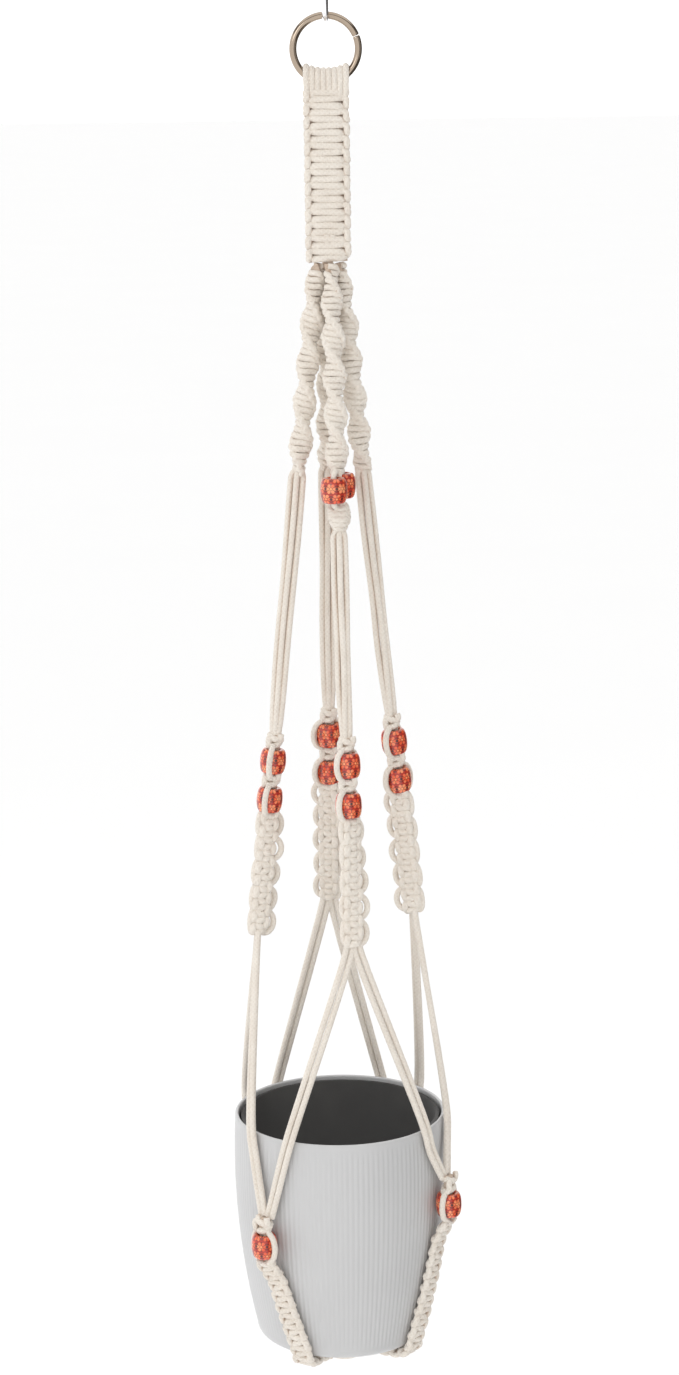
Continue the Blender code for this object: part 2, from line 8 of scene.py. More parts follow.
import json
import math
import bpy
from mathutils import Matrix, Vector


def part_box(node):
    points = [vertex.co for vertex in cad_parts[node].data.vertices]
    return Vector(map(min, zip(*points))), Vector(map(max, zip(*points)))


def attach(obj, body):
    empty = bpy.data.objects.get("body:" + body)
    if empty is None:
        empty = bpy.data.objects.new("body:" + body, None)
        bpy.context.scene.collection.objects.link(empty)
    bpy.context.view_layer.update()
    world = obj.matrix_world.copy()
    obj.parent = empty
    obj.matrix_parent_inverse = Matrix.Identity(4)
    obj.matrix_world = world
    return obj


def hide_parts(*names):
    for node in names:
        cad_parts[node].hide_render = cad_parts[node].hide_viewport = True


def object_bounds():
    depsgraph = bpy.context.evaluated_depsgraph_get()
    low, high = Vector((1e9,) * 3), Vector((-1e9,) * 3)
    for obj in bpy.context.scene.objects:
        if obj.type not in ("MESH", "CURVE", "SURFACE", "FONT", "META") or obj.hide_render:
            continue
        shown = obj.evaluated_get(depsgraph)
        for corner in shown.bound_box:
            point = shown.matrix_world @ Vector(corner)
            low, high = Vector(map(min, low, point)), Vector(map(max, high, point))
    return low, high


bl_info = {
    "name": "Macrame planter looks",
    "version": (1, 0, 0),
    "blender": (4, 5, 0),
    "location": "3D View > Sidebar > Planter",
    "description": "Makes the cords, knots, beads, ring, hook and pots of a hanging macrame planter",
    "category": "Object",
}

import bpy
import numpy as np
from bpy.props import FloatProperty, FloatVectorProperty, IntProperty, PointerProperty
from mathutils import Euler, Matrix, Vector

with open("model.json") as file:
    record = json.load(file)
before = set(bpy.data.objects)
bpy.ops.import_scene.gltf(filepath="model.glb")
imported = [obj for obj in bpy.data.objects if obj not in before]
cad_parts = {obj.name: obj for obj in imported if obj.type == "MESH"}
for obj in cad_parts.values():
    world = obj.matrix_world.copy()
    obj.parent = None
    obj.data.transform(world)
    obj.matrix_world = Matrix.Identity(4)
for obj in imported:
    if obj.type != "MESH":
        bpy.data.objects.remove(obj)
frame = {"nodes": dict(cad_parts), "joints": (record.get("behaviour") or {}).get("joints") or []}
CAD_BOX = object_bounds()

# The same route values as the CAD model's, which the frame holds no name for
HOOK_UPPER_BEND = 0.0184
HOOK_LOWER_BEND = 0.029
HOOK_BEND_SPACING = 0.062
HOOK_UPPER_TIP = 51.0
HOOK_LOWER_TIP = 136.0
HOOK_UPPER_TAIL = 0.0188
HOOK_LOWER_TAIL = 0.0164
RING_JOINT_AZIMUTH = 22.0
RING_JOINT_GAP = 0.0004
POT_WIDEST_HEIGHT = 0.145
POT_CURVE = 0.832
POT_FOOT_FILLET = 0.008
POT_WALL = 0.0025
POT_FLOOR = 0.003
PAIR_CORDS = 0.0062
RIM_SPREAD = 13.0
GAP = 0.0003
STRAP_THICKNESS = 0.008
STRAP_WIDTH = 0.018
BEAD_LENGTH = 0.019
BEAD_WIDTH = 0.0204
BEAD_FACE = 0.0136
BEAD_HOLE = 0.0094
CRADLE_FEET = {"front_left": (-40.0, -26.0), "front_right": (63.0, 50.0),
               "back_right": (145.0, 138.0), "back_left": (-132.0, -128.0)}
PAIRS = (("front", "front_left", -1), ("front", "front_right", 1),
         ("right", "front_right", -1), ("right", "back_right", 1),
         ("back", "back_right", -1), ("back", "back_left", 1),
         ("left", "back_left", -1), ("left", "front_left", 1))

# Which way each leg's sennit faces, in degrees, how far it turns on its way down, and the side whose
# loops stand open
SENNIT_FACING = {
    "front": (60.0, -45.0, 1), "right": (-22.0, 12.0, -1), "back": (-25.0, 20.0, -1), "left": (30.0, -15.0, 1)
}
# Each spiral's turn at its top, in degrees, and its length for half a turn
SPIRALS = {"front": (6.0, 0.0285), "right": (52.0, 0.0276), "back": (130.0, 0.0290), "left": (90.0, 0.0303)}

SIDES = 12
SEED = 7


def unit(vectors):
    """Each vector divided by its length."""
    return vectors / np.maximum(np.linalg.norm(vectors, axis=-1, keepdims=True), 1e-12)


def polar(azimuth, radius, z):
    """A point at an azimuth in degrees from the front, a radius from the hanging line, and a height."""
    angle = np.radians(azimuth)
    return np.stack(np.broadcast_arrays(radius * np.sin(angle), -radius * np.cos(angle), z), -1)


def sideways(azimuth):
    """The level direction that turns towards a greater azimuth."""
    angle = math.radians(azimuth)
    return np.array([math.cos(angle), math.sin(angle), 0.0])


def joint_line(name):
    """The place and the upward direction of a joint's axis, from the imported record."""
    joint = next(j for j in frame["joints"] if j["name"] == name)
    return np.array(joint["pos_m"], float), unit(np.array(joint["axis"], float))


def box(node):
    """A CAD node's lowest and highest corners as arrays."""
    low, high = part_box(node)
    return np.array(low), np.array(high)


def smooth_curve(points, spacing):
    """A centripetal Catmull-Rom curve through the points.

    Each span blends the lines through its four nearest points, with knots that are the square roots
    of the distances between them.
    """
    points = np.asarray(points, float)
    ends = np.concatenate([[2 * points[0] - points[1]], points, [2 * points[-1] - points[-2]]])
    spans = []
    for i in range(len(points) - 1):
        four = ends[i:i + 4]
        roots = np.sqrt(np.linalg.norm(np.diff(four, axis=0), axis=1))
        knot = np.concatenate([[0], np.cumsum(np.maximum(roots, 1e-4))])
        count = max(2, round(float(np.linalg.norm(four[2] - four[1])) / spacing))
        at = (knot[1] + (knot[2] - knot[1]) * np.arange(count) / count)[:, None]
        first = [
            four[j] + (four[j + 1] - four[j]) * (at - knot[j]) / (knot[j + 1] - knot[j]) for j in range(3)
        ]
        second = [
            first[j] + (first[j + 1] - first[j]) * (at - knot[j]) / (knot[j + 2] - knot[j]) for j in range(2)
        ]
        spans.append(second[0] + (second[1] - second[0]) * (at - knot[1]) / (knot[2] - knot[1]))
    return np.concatenate([*spans, points[-1:]])


class Spine:
    """The line that a knotted length follows, with the direction that it faces and its turn about itself.

    A place near it is a distance down it, a distance across it and a distance out from it.
    """

    MARGIN = 0.03

    def __init__(self, points, facing, turns=(0.0, 0.0)):
        points = np.asarray(points, float)
        before = points[:1] + unit(points[:1] - points[1:2]) * self.MARGIN
        after = points[-1:] + unit(points[-1:] - points[-2:-1]) * self.MARGIN
        self.points = np.concatenate([before, points, after])
        steps = np.linalg.norm(np.diff(self.points, axis=0), axis=1)
        self.down = np.concatenate([[0], np.cumsum(steps)]) - self.MARGIN
        self.length = float(self.down[-1] - self.MARGIN)
        facing = np.broadcast_to(facing, points.shape)
        facing = np.concatenate([facing[:1], facing, facing[-1:]])
        along = unit(np.gradient(self.points, self.down, axis=0))
        self.out = unit(facing - (facing * along).sum(1, keepdims=True) * along)
        self.across = np.cross(self.out, along)
        self.turns = turns

    def read(self, table, down):
        """The table's rows at the given distances down the spine."""
        return np.stack([np.interp(down, self.down, table[:, i]) for i in range(3)], -1)

    def place(self, down, across, out):
        """Points of the given distances down, across and out, turned with the spine."""
        down, across, out = np.broadcast_arrays(down, across, out)
        turn = np.radians(self.turns[0] + (self.turns[1] - self.turns[0]) * down / self.length)
        side = (across * np.cos(turn) + out * np.sin(turn))[:, None]
        front = (out * np.cos(turn) - across * np.sin(turn))[:, None]
        tables = (self.points, self.across, self.out)
        middle, across, out = (self.read(table, down) for table in tables)
        return middle + across * side + out * front


def tube(path, radius, core=None, sides=SIDES, press=(1.0, 1.0)):
    """A cord along a path: rings of points at a radius, square to the path, closed by end faces.

    With core points, each ring starts on the side turned away from them, and the share of painted shade it
    carries, for where the cord lies against others, goes from 0 there to 1 on the side turned to them; with
    no core that share is 0.25 all round. press squeezes the ring towards the core and spreads it along the
    knot. With no core the rings start from the direction that the path keeps most square to.
    """
    path = np.asarray(path, float)
    radius = np.broadcast_to(radius, len(path))[:, None, None]
    along = unit(np.gradient(path, axis=0))
    if core is None:
        up = np.broadcast_to(np.linalg.svd(along, full_matrices=True)[2][-1], path.shape)
    else:
        up = path - core
    up = unit(up - (up * along).sum(1, keepdims=True) * along)
    across = np.cross(along, up)
    angle = np.linspace(0, 2 * np.pi, sides, endpoint=False)[None, :, None]
    reach = press[0] * np.cos(angle) * up[:, None] + press[1] * np.sin(angle) * across[:, None]
    points = path[:, None] + reach * radius
    deep = np.full(points.shape[:2], 0.25)
    if core is not None:
        deep = np.broadcast_to(0.5 - 0.5 * np.cos(angle[..., 0]), points.shape[:2])
    walked = np.concatenate([[0], np.cumsum(np.linalg.norm(np.diff(path, axis=0), axis=1))])
    return grid(points, walked / (2 * float(radius.max())), deep)


def grid(points, along_v, deep, cap=True):
    """Faces over rows of points that close on themselves, with u once round and v as given per row."""
    rows, sides = points.shape[:2]
    row, side = np.meshgrid(np.arange(rows - 1), np.arange(sides), indexing="ij")
    near, far = row * sides + side, row * sides + (side + 1) % sides
    quads = np.stack([near, far, far + sides, near + sides], -1).reshape(-1, 4)
    u = np.stack([side, side + 1, side + 1, side], -1) / sides
    v = np.stack([along_v[row], along_v[row], along_v[row + 1], along_v[row + 1]], -1)
    made = {
        "points": points.reshape(-1, 3),
        "quads": quads,
        "quad_uv": np.stack([u, v], -1).reshape(-1, 2),
        "deep": deep.reshape(-1),
        "caps": np.zeros((0, sides), int),
    }
    if cap:
        first = np.arange(sides)[::-1]
        made["caps"] = np.stack([first, (rows - 1) * sides + np.arange(sides)])
    return made


def turned(profile, steps, place=(0, 0, 0), turn=None, ribs=None):
    """A closed profile of (radius, height) rows carried round an axis.

    ribs is (count, depth, share per row): the radius gains depth times the share times a cosine.
    """
    profile = np.asarray(profile, float)
    angle = np.linspace(0, 2 * np.pi, steps, endpoint=False)
    radius = np.repeat(profile[:, :1], steps, 1)
    if ribs is not None:
        count, depth, share = ribs
        radius = radius + depth * share[:, None] * (0.5 * np.cos(count * angle)[None] - 0.5)
    heights = np.repeat(profile[:, 1:], steps, 1)
    points = np.stack([radius * np.cos(angle), radius * np.sin(angle), heights], -1)
    if turn is not None:
        points = points @ np.array(turn).T
    points = points + np.asarray(place, float)
    walked = np.concatenate([[0], np.cumsum(np.linalg.norm(np.diff(profile, axis=0), axis=1))])
    return grid(points, walked / walked[-1], np.zeros(points.shape[:2]), cap=False)


def make_mesh(name, shells, material, body, replaced=()):
    """Joins shells into one mesh object, puts arrays into it whole, and lets it ride on its body."""
    starts = np.concatenate([[0], np.cumsum([len(s["points"]) for s in shells])])
    points = np.concatenate([s["points"] for s in shells])
    corners, sizes, uvs = [], [], []
    for start, shell in zip(starts, shells):
        corners.append((shell["quads"] + start).reshape(-1))
        sizes.append(np.full(len(shell["quads"]), 4))
        uvs.append(shell["quad_uv"])
        corners.append((shell["caps"] + start).reshape(-1))
        sizes.append(np.full(len(shell["caps"]), shell["caps"].shape[1]))
        uvs.append(np.zeros((shell["caps"].size, 2)))
    corners, sizes, uvs = np.concatenate(corners), np.concatenate(sizes), np.concatenate(uvs)
    mesh = bpy.data.meshes.new(name)
    mesh.vertices.add(len(points))
    mesh.vertices.foreach_set("co", points.astype(np.float32).ravel())
    mesh.loops.add(len(corners))
    mesh.loops.foreach_set("vertex_index", corners.astype(np.int32))
    mesh.polygons.add(len(sizes))
    mesh.polygons.foreach_set("loop_start", (np.cumsum(sizes) - sizes).astype(np.int32))
    mesh.polygons.foreach_set("use_smooth", np.ones(len(sizes), bool))
    mesh.update(calc_edges=True)
    layer = mesh.uv_layers.new(name="UVMap")
    layer.data.foreach_set("uv", uvs.astype(np.float32).ravel())
    # The share of painted shade at each point, darkest where cords lie against each other, which the cotton's
    # colour reads
    deep = mesh.attributes.new("deep", "FLOAT", "POINT")
    deep.data.foreach_set("value", np.concatenate([s["deep"] for s in shells]).astype(np.float32))
    mesh.materials.append(material)
    mesh.validate()
    mesh.set_sharp_from_angle(angle=math.radians(50))
    piece = bpy.data.objects.new(name, mesh)
    bpy.context.scene.collection.objects.link(piece)
    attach(piece, body)
    if replaced:
        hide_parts(*replaced)
    return piece


def cotton_piece(name, shells, *replaced):
    """A piece of the knotted hanger, which stands for the CAD nodes named."""
    return make_mesh(name, shells, cotton(), "hanger", replaced)


def free_cord(name, path, diameter, replaced=(), core=None):
    """A taut cord between two knots, made as one cotton piece."""
    made = cotton_piece(name, [tube(path, diameter / 2, core)], *replaced)


def square_knot_cords(half, thick, radius, row):
    """The two working cords of one square knot, two rows long, as (across, out, down) points.

    The first cord crosses over the front in both rows, and turns back at each edge. The second crosses
    behind in both, and comes up in front at each edge as a bar that spans two rows.
    """
    dive = max(half - 1.3 * radius, 0.55 * half)
    flat = max(half - 2.6 * radius, 0.3 * half)
    over = [(-half, -0.1, 0.0), (-dive, 0.66, 0.33), (-flat, 0.98, 0.45), (0.0, 1.03, 0.5),
            (flat, 0.98, 0.55), (dive, 0.66, 0.67)]
    under = [(half, 0.90, -0.45), (half * 1.01, 0.92, 0.25), (half * 1.03, 0.4, 0.70),
             (half * 0.86, -0.6, 0.72), (flat, -0.98, 0.6), (0.0, -1.03, 0.5), (-flat, -0.98, 0.4),
             (-dive, -0.4, 0.3), (-dive, 0.55, 0.33)]
    return [knot_points(cord, thick, row) for cord in (over, under)]


def half_knot_cords(half, thick, radius, row):
    """The two working cords of two half knots of a spiral, as (across, out, down) points.

    Each cord crosses the front from left to right, comes over the other's end at the right edge as a
    bar one row long, crosses behind, and comes up over the other's start at the left edge.
    """
    one = [(-0.5 * half, 0.9, -0.08), (0.0, 1.03, 0.0), (0.5 * half, 0.9, 0.08), (0.85 * half, 0.25, 0.22),
           (1.03 * half, 0.15, 0.5), (half, 0.5, 0.8), (0.98 * half, -0.25, 1.02), (0.5 * half, -0.92, 1.05),
           (0.0, -1.03, 1.0), (-0.5 * half, -0.92, 0.95), (-0.86 * half, -0.3, 1.08), (-half, 0.45, 1.3),
           (-1.03 * half, 0.2, 1.6), (-0.85 * half, 0.5, 1.84)]
    first = np.array(one) * [1, thick, row]
    return [first + [0, 0, 0.5 * row], first + [0, 0, 1.5 * row]]


def knot_points(cord, thick, row):
    """A cord's first row and then its second, which is the first turned left for right."""
    first = np.array(cord)
    return np.concatenate([first, first * [-1, 1, 1] + [0, 0, 1]]) * [1, thick, row]


def knots(spine, start, end, width, depth, radius, row, chance, lay=square_knot_cords, scale=None,
          press=(0.92, 1.07)):
    """Knots over filler cords, from one distance down the spine to another.

    The points of one knot repeat down the length, each moved a little by chance, a smooth curve runs
    through them, and the spine carries it. scale is (distances, sizes) for a length that tapers.
    """
    repeats = max(1, round((end - start) / (2 * row)))
    row = (end - start) / (2 * repeats)
    shells = []
    for cord in lay(width / 2 - radius, depth / 2 - radius, radius, row):
        count = len(cord)
        points = np.tile(cord, (repeats, 1))
        points[:, 2] += np.repeat(np.arange(repeats), count) * 2 * row
        points += chance.normal(0, 1, points.shape) * [0.00022, 0.00016, 0.03 * row]
        points = smooth_curve(points, 0.0011)
        points = points[(points[:, 2] > -0.4 * row) & (points[:, 2] < end - start + 0.4 * row)]
        down = start + points[:, 2]
        size = 1.0 if scale is None else np.interp(down, *scale)
        path = spine.place(down, points[:, 0] * size, points[:, 1] * size)
        core = spine.place(down, points[:, 0] * size * 0.72, 0)
        fat = radius * (1.0 if scale is None else np.sqrt(size))
        shells.append(tube(path, fat, core, press=press))
    shells.append(filler(spine, start, end, width, depth, radius, scale))
    return shells


def picot(spine, middle, height, side, width, reach, radius, lean):
    """A loop of spare cord that stands out from the edge: a half oval that starts and ends in the knots."""
    angle = np.linspace(-0.58 * np.pi, 0.58 * np.pi, 23)
    half = width / 2 - radius
    across = side * (half + (reach - radius - half) * np.clip(np.cos(angle), -0.25, 1))
    down = middle + height / 2 * np.sin(angle)
    return tube(spine.place(down, across, lean * np.cos(angle)), radius)


def filler(spine, start, end, width, depth, radius, scale=None):
    """The cords that the knots are tied over, as one oval core inside them."""
    down = np.linspace(start, end, max(4, round((end - start) / 0.004)))
    size = 1.0 if scale is None else np.interp(down, *scale)
    angle = np.linspace(0, 2 * np.pi, SIDES, endpoint=False)
    half = np.maximum((width / 2 - radius * 1.1) * size, 0.001)
    thick = np.maximum((depth / 2 - radius * 1.1) * size, 0.001)
    points = np.stack(
        [spine.place(down, half * np.cos(a), thick * np.sin(a)) for a in angle[::-1]], 1
    )
    # The filler core is marked as lying fully in painted shade
    return grid(points, down / (2 * radius), np.full(points.shape[:2], 1.0))


# Materials


class Wiring:
    """Adds shader nodes to a tree, each fed by numbers or by the outputs of other nodes."""

    def __init__(self, tree):
        self.tree = tree

    def node(self, kind, inputs=None, **settings):
        made = self.tree.nodes.new(kind)
        for name, value in settings.items():
            setattr(made, name, value)
        for key, value in (inputs or {}).items():
            self.feed(made.inputs[key], value)
        return made

    def feed(self, socket, value):
        if isinstance(value, bpy.types.NodeSocket):
            self.tree.links.new(value, socket)
        else:
            socket.default_value = value

    def math(self, operation, *values):
        return self.node("ShaderNodeMath", dict(enumerate(values)), operation=operation).outputs[0]

    def group(self, group, inputs):
        """The outputs of a node group, fed by its sockets' names."""
        made = self.node("ShaderNodeGroup", None, node_tree=group)
        for name, value in inputs.items():
            self.feed(made.inputs[name], value)
        return made.outputs

    def length_of(self, x, y):
        return self.math("SQRT", self.math("MULTIPLY_ADD", x, x, self.math("MULTIPLY", y, y)))

    def ramp(self, value, low, high):
        """0 where the value is at or under low, 1 at or over high, and smooth between."""
        inputs = {0: value, 1: low, 2: high}
        return self.node("ShaderNodeMapRange", inputs, interpolation_type="SMOOTHSTEP").outputs[0]

    def mix(self, share, first, second):
        made = self.node("ShaderNodeMix", data_type="RGBA")
        for index, value in ((0, share), (6, first), (7, second)):
            self.feed(made.inputs[index], value)
        return made.outputs[2]

    def uv(self):
        """The parts of the piece's own UV map: once round a cord or bead, and along it."""
        place = self.node("ShaderNodeTexCoord").outputs["UV"]
        return self.node("ShaderNodeSeparateXYZ", {0: place}).outputs

    def noise(self, scale, detail=2.0):
        """Noise on Object coordinates, which are metres, from 0 to 1."""
        place = self.node("ShaderNodeTexCoord").outputs["Object"]
        inputs = {"Vector": place, "Scale": scale, "Detail": detail}
        return self.node("ShaderNodeTexNoise", inputs).outputs[0]


def node_group(name, inputs, outputs, build):
    """The node group of that name, made by its own function the first time it is asked for."""
    if name in bpy.data.node_groups:
        return bpy.data.node_groups[name]
    group = bpy.data.node_groups.new(name, "ShaderNodeTree")
    for label, default in inputs:
        socket = group.interface.new_socket(label, in_out="INPUT", socket_type="NodeSocketFloat")
        socket.default_value = default
    for label in outputs:
        group.interface.new_socket(label, in_out="OUTPUT", socket_type="NodeSocketFloat")
    build(Wiring(group), group.nodes.new("NodeGroupInput").outputs, group.nodes.new("NodeGroupOutput").inputs)
    return group


def grain_group():
    """Fine unevenness that every surface has: a broad mottle and a fine grain, each from 0 to 1."""

    def build(wiring, given, out):
        wiring.feed(out["Broad"], wiring.noise(given["Broad Scale"]))
        wiring.feed(out["Fine"], wiring.noise(given["Fine Scale"], 4.0))

    inputs = [("Broad Scale", 40.0), ("Fine Scale", 900.0)]
    return node_group("surface grain", inputs, ["Broad", "Fine"], build)


def braid_group():
    """Plaited strands on a cord's UV map: two sets of ridges that wind round it opposite ways.

    Each set is the sine of strands times u plus or minus lay times v; the higher of the two shows.
    """

    def build(wiring, given, out):
        parts = wiring.uv()
        round_it = wiring.math("MULTIPLY", parts[0], given["Strands"])
        down_it = wiring.math("MULTIPLY", parts[1], given["Lay"])
        ridges = [
            wiring.math("SINE", wiring.math("MULTIPLY", wiring.math(way, round_it, down_it), 2 * math.pi))
            for way in ("ADD", "SUBTRACT")
        ]
        wiring.feed(out["Height"], wiring.math("MULTIPLY_ADD", wiring.math("MAXIMUM", *ridges), 0.5, 0.5))

    return node_group("cord braid", [("Strands", 4.0), ("Lay", 1.3)], ["Height"], build)


def rosette_group():
    """A small all-over print on a UV map: staggered flowers with separate petals and a pale eye.

    In each cell the flower's edge lies at a radius that swells with the cosine of petals times the
    angle, dark lines run where that cosine is lowest, and a dark patch fills the corners.
    """

    def build(wiring, given, out):
        parts = wiring.uv()
        rows = wiring.math("MULTIPLY", parts[1], given["Rows"])
        stagger = wiring.math("MULTIPLY", wiring.math("FLOOR", rows), 0.5)
        cells = wiring.math("ADD", wiring.math("MULTIPLY", parts[0], given["Round"]), stagger)
        x = wiring.math("SUBTRACT", wiring.math("FRACT", cells), 0.5)
        y = wiring.math("SUBTRACT", wiring.math("FRACT", rows), 0.5)
        far = wiring.length_of(x, y)
        angle = wiring.math("MULTIPLY", wiring.math("ARCTAN2", y, x), given["Petals"])
        wave = wiring.math("COSINE", angle)
        edge = wiring.math("MULTIPLY_ADD", wave, 0.06, given["Size"])
        wiring.feed(out["Flower"], wiring.ramp(wiring.math("SUBTRACT", edge, far), -0.01, 0.03))
        between = wiring.math("MULTIPLY", wiring.ramp(wave, -0.5, -0.95), wiring.ramp(far, 0.12, 0.16))
        off_eye = wiring.math("ABSOLUTE", wiring.math("SUBTRACT", far, 0.135))
        wiring.feed(out["Line"], wiring.math("MAXIMUM", between, wiring.ramp(off_eye, 0.035, 0.01)))
        wiring.feed(out["Eye"], wiring.ramp(far, 0.11, 0.07))
        to_side = wiring.math("SUBTRACT", 0.5, wiring.math("ABSOLUTE", x))
        wiring.feed(out["Patch"], wiring.ramp(wiring.length_of(to_side, y), 0.17, 0.09))

    inputs = [("Round", 7.0), ("Rows", 2.4), ("Petals", 6.0), ("Size", 0.44)]
    return node_group("rosette print", inputs, ["Flower", "Line", "Eye", "Patch"], build)


def new_material(name, build):
    """The material of that name, made by its own function the first time it is asked for."""
    if name in bpy.data.materials:
        return bpy.data.materials[name]
    material = bpy.data.materials.new(name)
    material.use_nodes = True
    tree = material.node_tree
    wiring = Wiring(tree)
    shader = tree.nodes["Principled BSDF"]
    build(wiring, shader, shader.inputs)
    return material


def bump(wiring, shader, height, strength, distance):
    made = wiring.node("ShaderNodeBump", {"Strength": strength, "Distance": distance, "Height": height})
    wiring.feed(shader.inputs["Normal"], made.outputs[0])


def grain(wiring, broad, fine):
    """The surface grain's outputs at two scales."""
    return wiring.group(grain_group(), {"Broad Scale": broad, "Fine Scale": fine})


def cotton():
    """Undyed braided cotton: pale and matt, with painted shade, warmer and darker, where cords lie against
    each other and in the braid's valleys.
    """
    settings = bpy.context.scene.planter_cord

    def build(wiring, shader, inputs):
        fluff = grain(wiring, 55.0, 1600.0)
        braid = wiring.group(braid_group(), {"Strands": 4.0, "Lay": 1.3})
        deep = wiring.node("ShaderNodeAttribute", attribute_name="deep").outputs["Fac"]
        pale, crevice_shade_colour = (*settings.pale, 1.0), (*settings.crevice_shade_colour, 1.0)
        mottled = wiring.mix(wiring.ramp(fluff["Broad"], 0.3, 0.75), pale, (*settings.mottle, 1.0))
        # Painted shade: warm and darker on the side of each cord turned to the knot's core, where cords press
        # together
        painted_crevice_shade = wiring.math("MULTIPLY", wiring.ramp(deep, 0.3, 0.9), 0.7)
        # Painted shade: a little warmer and darker in the valleys between the braid's strands
        between = wiring.math("MULTIPLY", wiring.math("SUBTRACT", 1.0, braid["Height"]), 0.16)
        wiring.feed(inputs["Base Color"], wiring.mix(wiring.math("ADD", painted_crevice_shade, between), mottled, crevice_shade_colour))
        wiring.feed(inputs["Roughness"], wiring.math("MULTIPLY_ADD", fluff["Fine"], 0.15, 0.82))
        height = wiring.math("MULTIPLY_ADD", fluff["Fine"], 0.45, braid["Height"])
        bump(wiring, shader, height, 0.75, 0.0004)
        inputs["Sheen Weight"].default_value = 0.35
        inputs["Sheen Roughness"].default_value = 0.5
        inputs["Specular IOR Level"].default_value = 0.2

    return new_material("braided cotton", build)


def metal(name, colour, roughness, tarnish):
    """Plated steel wire: clean reflections broken by faint wiping marks and a little tarnish."""

    def build(wiring, shader, inputs):
        marks = grain(wiring, 70.0, 1200.0)
        patches = wiring.math("MULTIPLY", wiring.ramp(marks["Broad"], 0.45, 0.8), 0.35)
        wiring.feed(inputs["Base Color"], wiring.mix(patches, (*colour, 1.0), (*tarnish, 1.0)))
        wiring.feed(inputs["Roughness"], wiring.math("MULTIPLY_ADD", marks["Fine"], 0.1, roughness))
        inputs["Metallic"].default_value = 1.0
        bump(wiring, shader, marks["Fine"], 0.05, 0.0001)

    return new_material(name, build)


def chrome():
    settings = bpy.context.scene.planter_metal
    return metal("chrome plate", tuple(settings.chrome), 0.05, (0.62, 0.62, 0.64))


def nickel():
    settings = bpy.context.scene.planter_metal
    return metal("nickel plate", tuple(settings.nickel), 0.07, tuple(settings.nickel_dark))


def printed_wood():
    """Turned wood, stained dark, printed with small orange-red flowers and lacquered."""
    settings = bpy.context.scene.planter_bead

    def build(wiring, shader, inputs):
        wood = grain(wiring, 160.0, 1500.0)
        print_in = {"Round": float(settings.round_it), "Rows": 2.4, "Petals": 6.0, "Size": 0.44}
        printed = wiring.group(rosette_group(), print_in)
        flower, dark = (*settings.flower, 1.0), (*settings.ground, 1.0)
        petals = wiring.mix(wiring.ramp(wood["Broad"], 0.35, 0.7), flower, (*settings.flower_pale, 1.0))
        coloured = wiring.mix(printed["Flower"], (*settings.between, 1.0), petals)
        coloured = wiring.mix(wiring.math("MULTIPLY", printed["Line"], 0.62), coloured, dark)
        coloured = wiring.mix(wiring.math("MULTIPLY", printed["Eye"], 0.8), coloured, (*settings.eye, 1.0))
        coloured = wiring.mix(wiring.math("MULTIPLY", printed["Patch"], 0.95), coloured, dark)
        wiring.feed(inputs["Base Color"], coloured)
        wiring.feed(inputs["Roughness"], wiring.math("MULTIPLY_ADD", wood["Fine"], 0.12, 0.24))
        inputs["Coat Weight"].default_value = 0.6
        inputs["Coat Roughness"].default_value = 0.08
        bump(wiring, shader, wiring.math("ADD", printed["Flower"], wood["Fine"]), 0.12, 0.0001)

    return new_material("printed bead wood", build)


def moulded(name, colour, shade, roughness, relief):
    """Moulded plastic: an even colour with a faint cloudiness, and a fine satin skin."""

    def build(wiring, shader, inputs):
        skin = grain(wiring, 18.0, 700.0)
        cloudy = wiring.ramp(skin["Broad"], 0.3, 0.75)
        wiring.feed(inputs["Base Color"], wiring.mix(cloudy, (*colour, 1.0), (*shade, 1.0)))
        wiring.feed(inputs["Roughness"], wiring.math("MULTIPLY_ADD", skin["Fine"], 0.14, roughness))
        bump(wiring, shader, skin["Fine"], 0.2, relief)

    return new_material(name, build)


def white_plastic():
    colour = np.array(bpy.context.scene.planter_pot.white)
    return moulded("white moulded plastic", tuple(colour), tuple(colour * 0.965), 0.34, 0.0001)


def black_plastic():
    colour = np.array(bpy.context.scene.planter_pot.black)
    return moulded("black moulded plastic", tuple(colour), tuple(colour * 1.8), 0.48, 0.0002)


# Settings


def colour_property(name, description, default):
    return FloatVectorProperty(
        name=name, description=description, default=default, subtype="COLOR", min=0.0, max=1.0
    )


def length_property(name, description, default):
    return FloatProperty(
        name=name, description=description, default=default, unit="LENGTH", subtype="DISTANCE", precision=4
    )


class PLANTER_PG_cord(bpy.types.PropertyGroup):
    """The cotton cord and how tightly it is knotted."""

    diameter: length_property("Cord", "Diameter of the cotton cord", 0.0048)
    row: length_property("Row", "Distance from one half knot to the next", 0.0050)
    picot_reach: length_property("Picot reach", "How far a side loop stands from the leg's centre", 0.0140)
    picot_step: length_property("Picot step", "Distance from one side loop to the next", 0.0196)
    pale: colour_property("Pale", "The cotton where it is fully lit", (0.83, 0.775, 0.70))
    mottle: colour_property("Mottle", "The cotton's slight unevenness", (0.79, 0.725, 0.645))
    # Painted shade: the colour the cotton is turned to where cords press together
    crevice_shade_colour: colour_property("Warm", "The cotton where cords press together", (0.50, 0.36, 0.26))


class PLANTER_PG_bead(bpy.types.PropertyGroup):
    """The printed beads."""

    round_it: IntProperty(name="Flowers round", description="Printed flowers round a bead", default=7, min=3)
    flower: colour_property("Flower", "The printed petals", (0.80, 0.085, 0.02))
    flower_pale: colour_property("Flower, worn", "The petals where the print is thin", (0.95, 0.32, 0.14))
    eye: colour_property("Eye", "The middle of a flower", (0.95, 0.42, 0.17))
    between: colour_property("Between", "The paint between the flowers", (0.46, 0.022, 0.008))
    ground: colour_property("Ground", "The stained wood that shows through", (0.035, 0.008, 0.006))


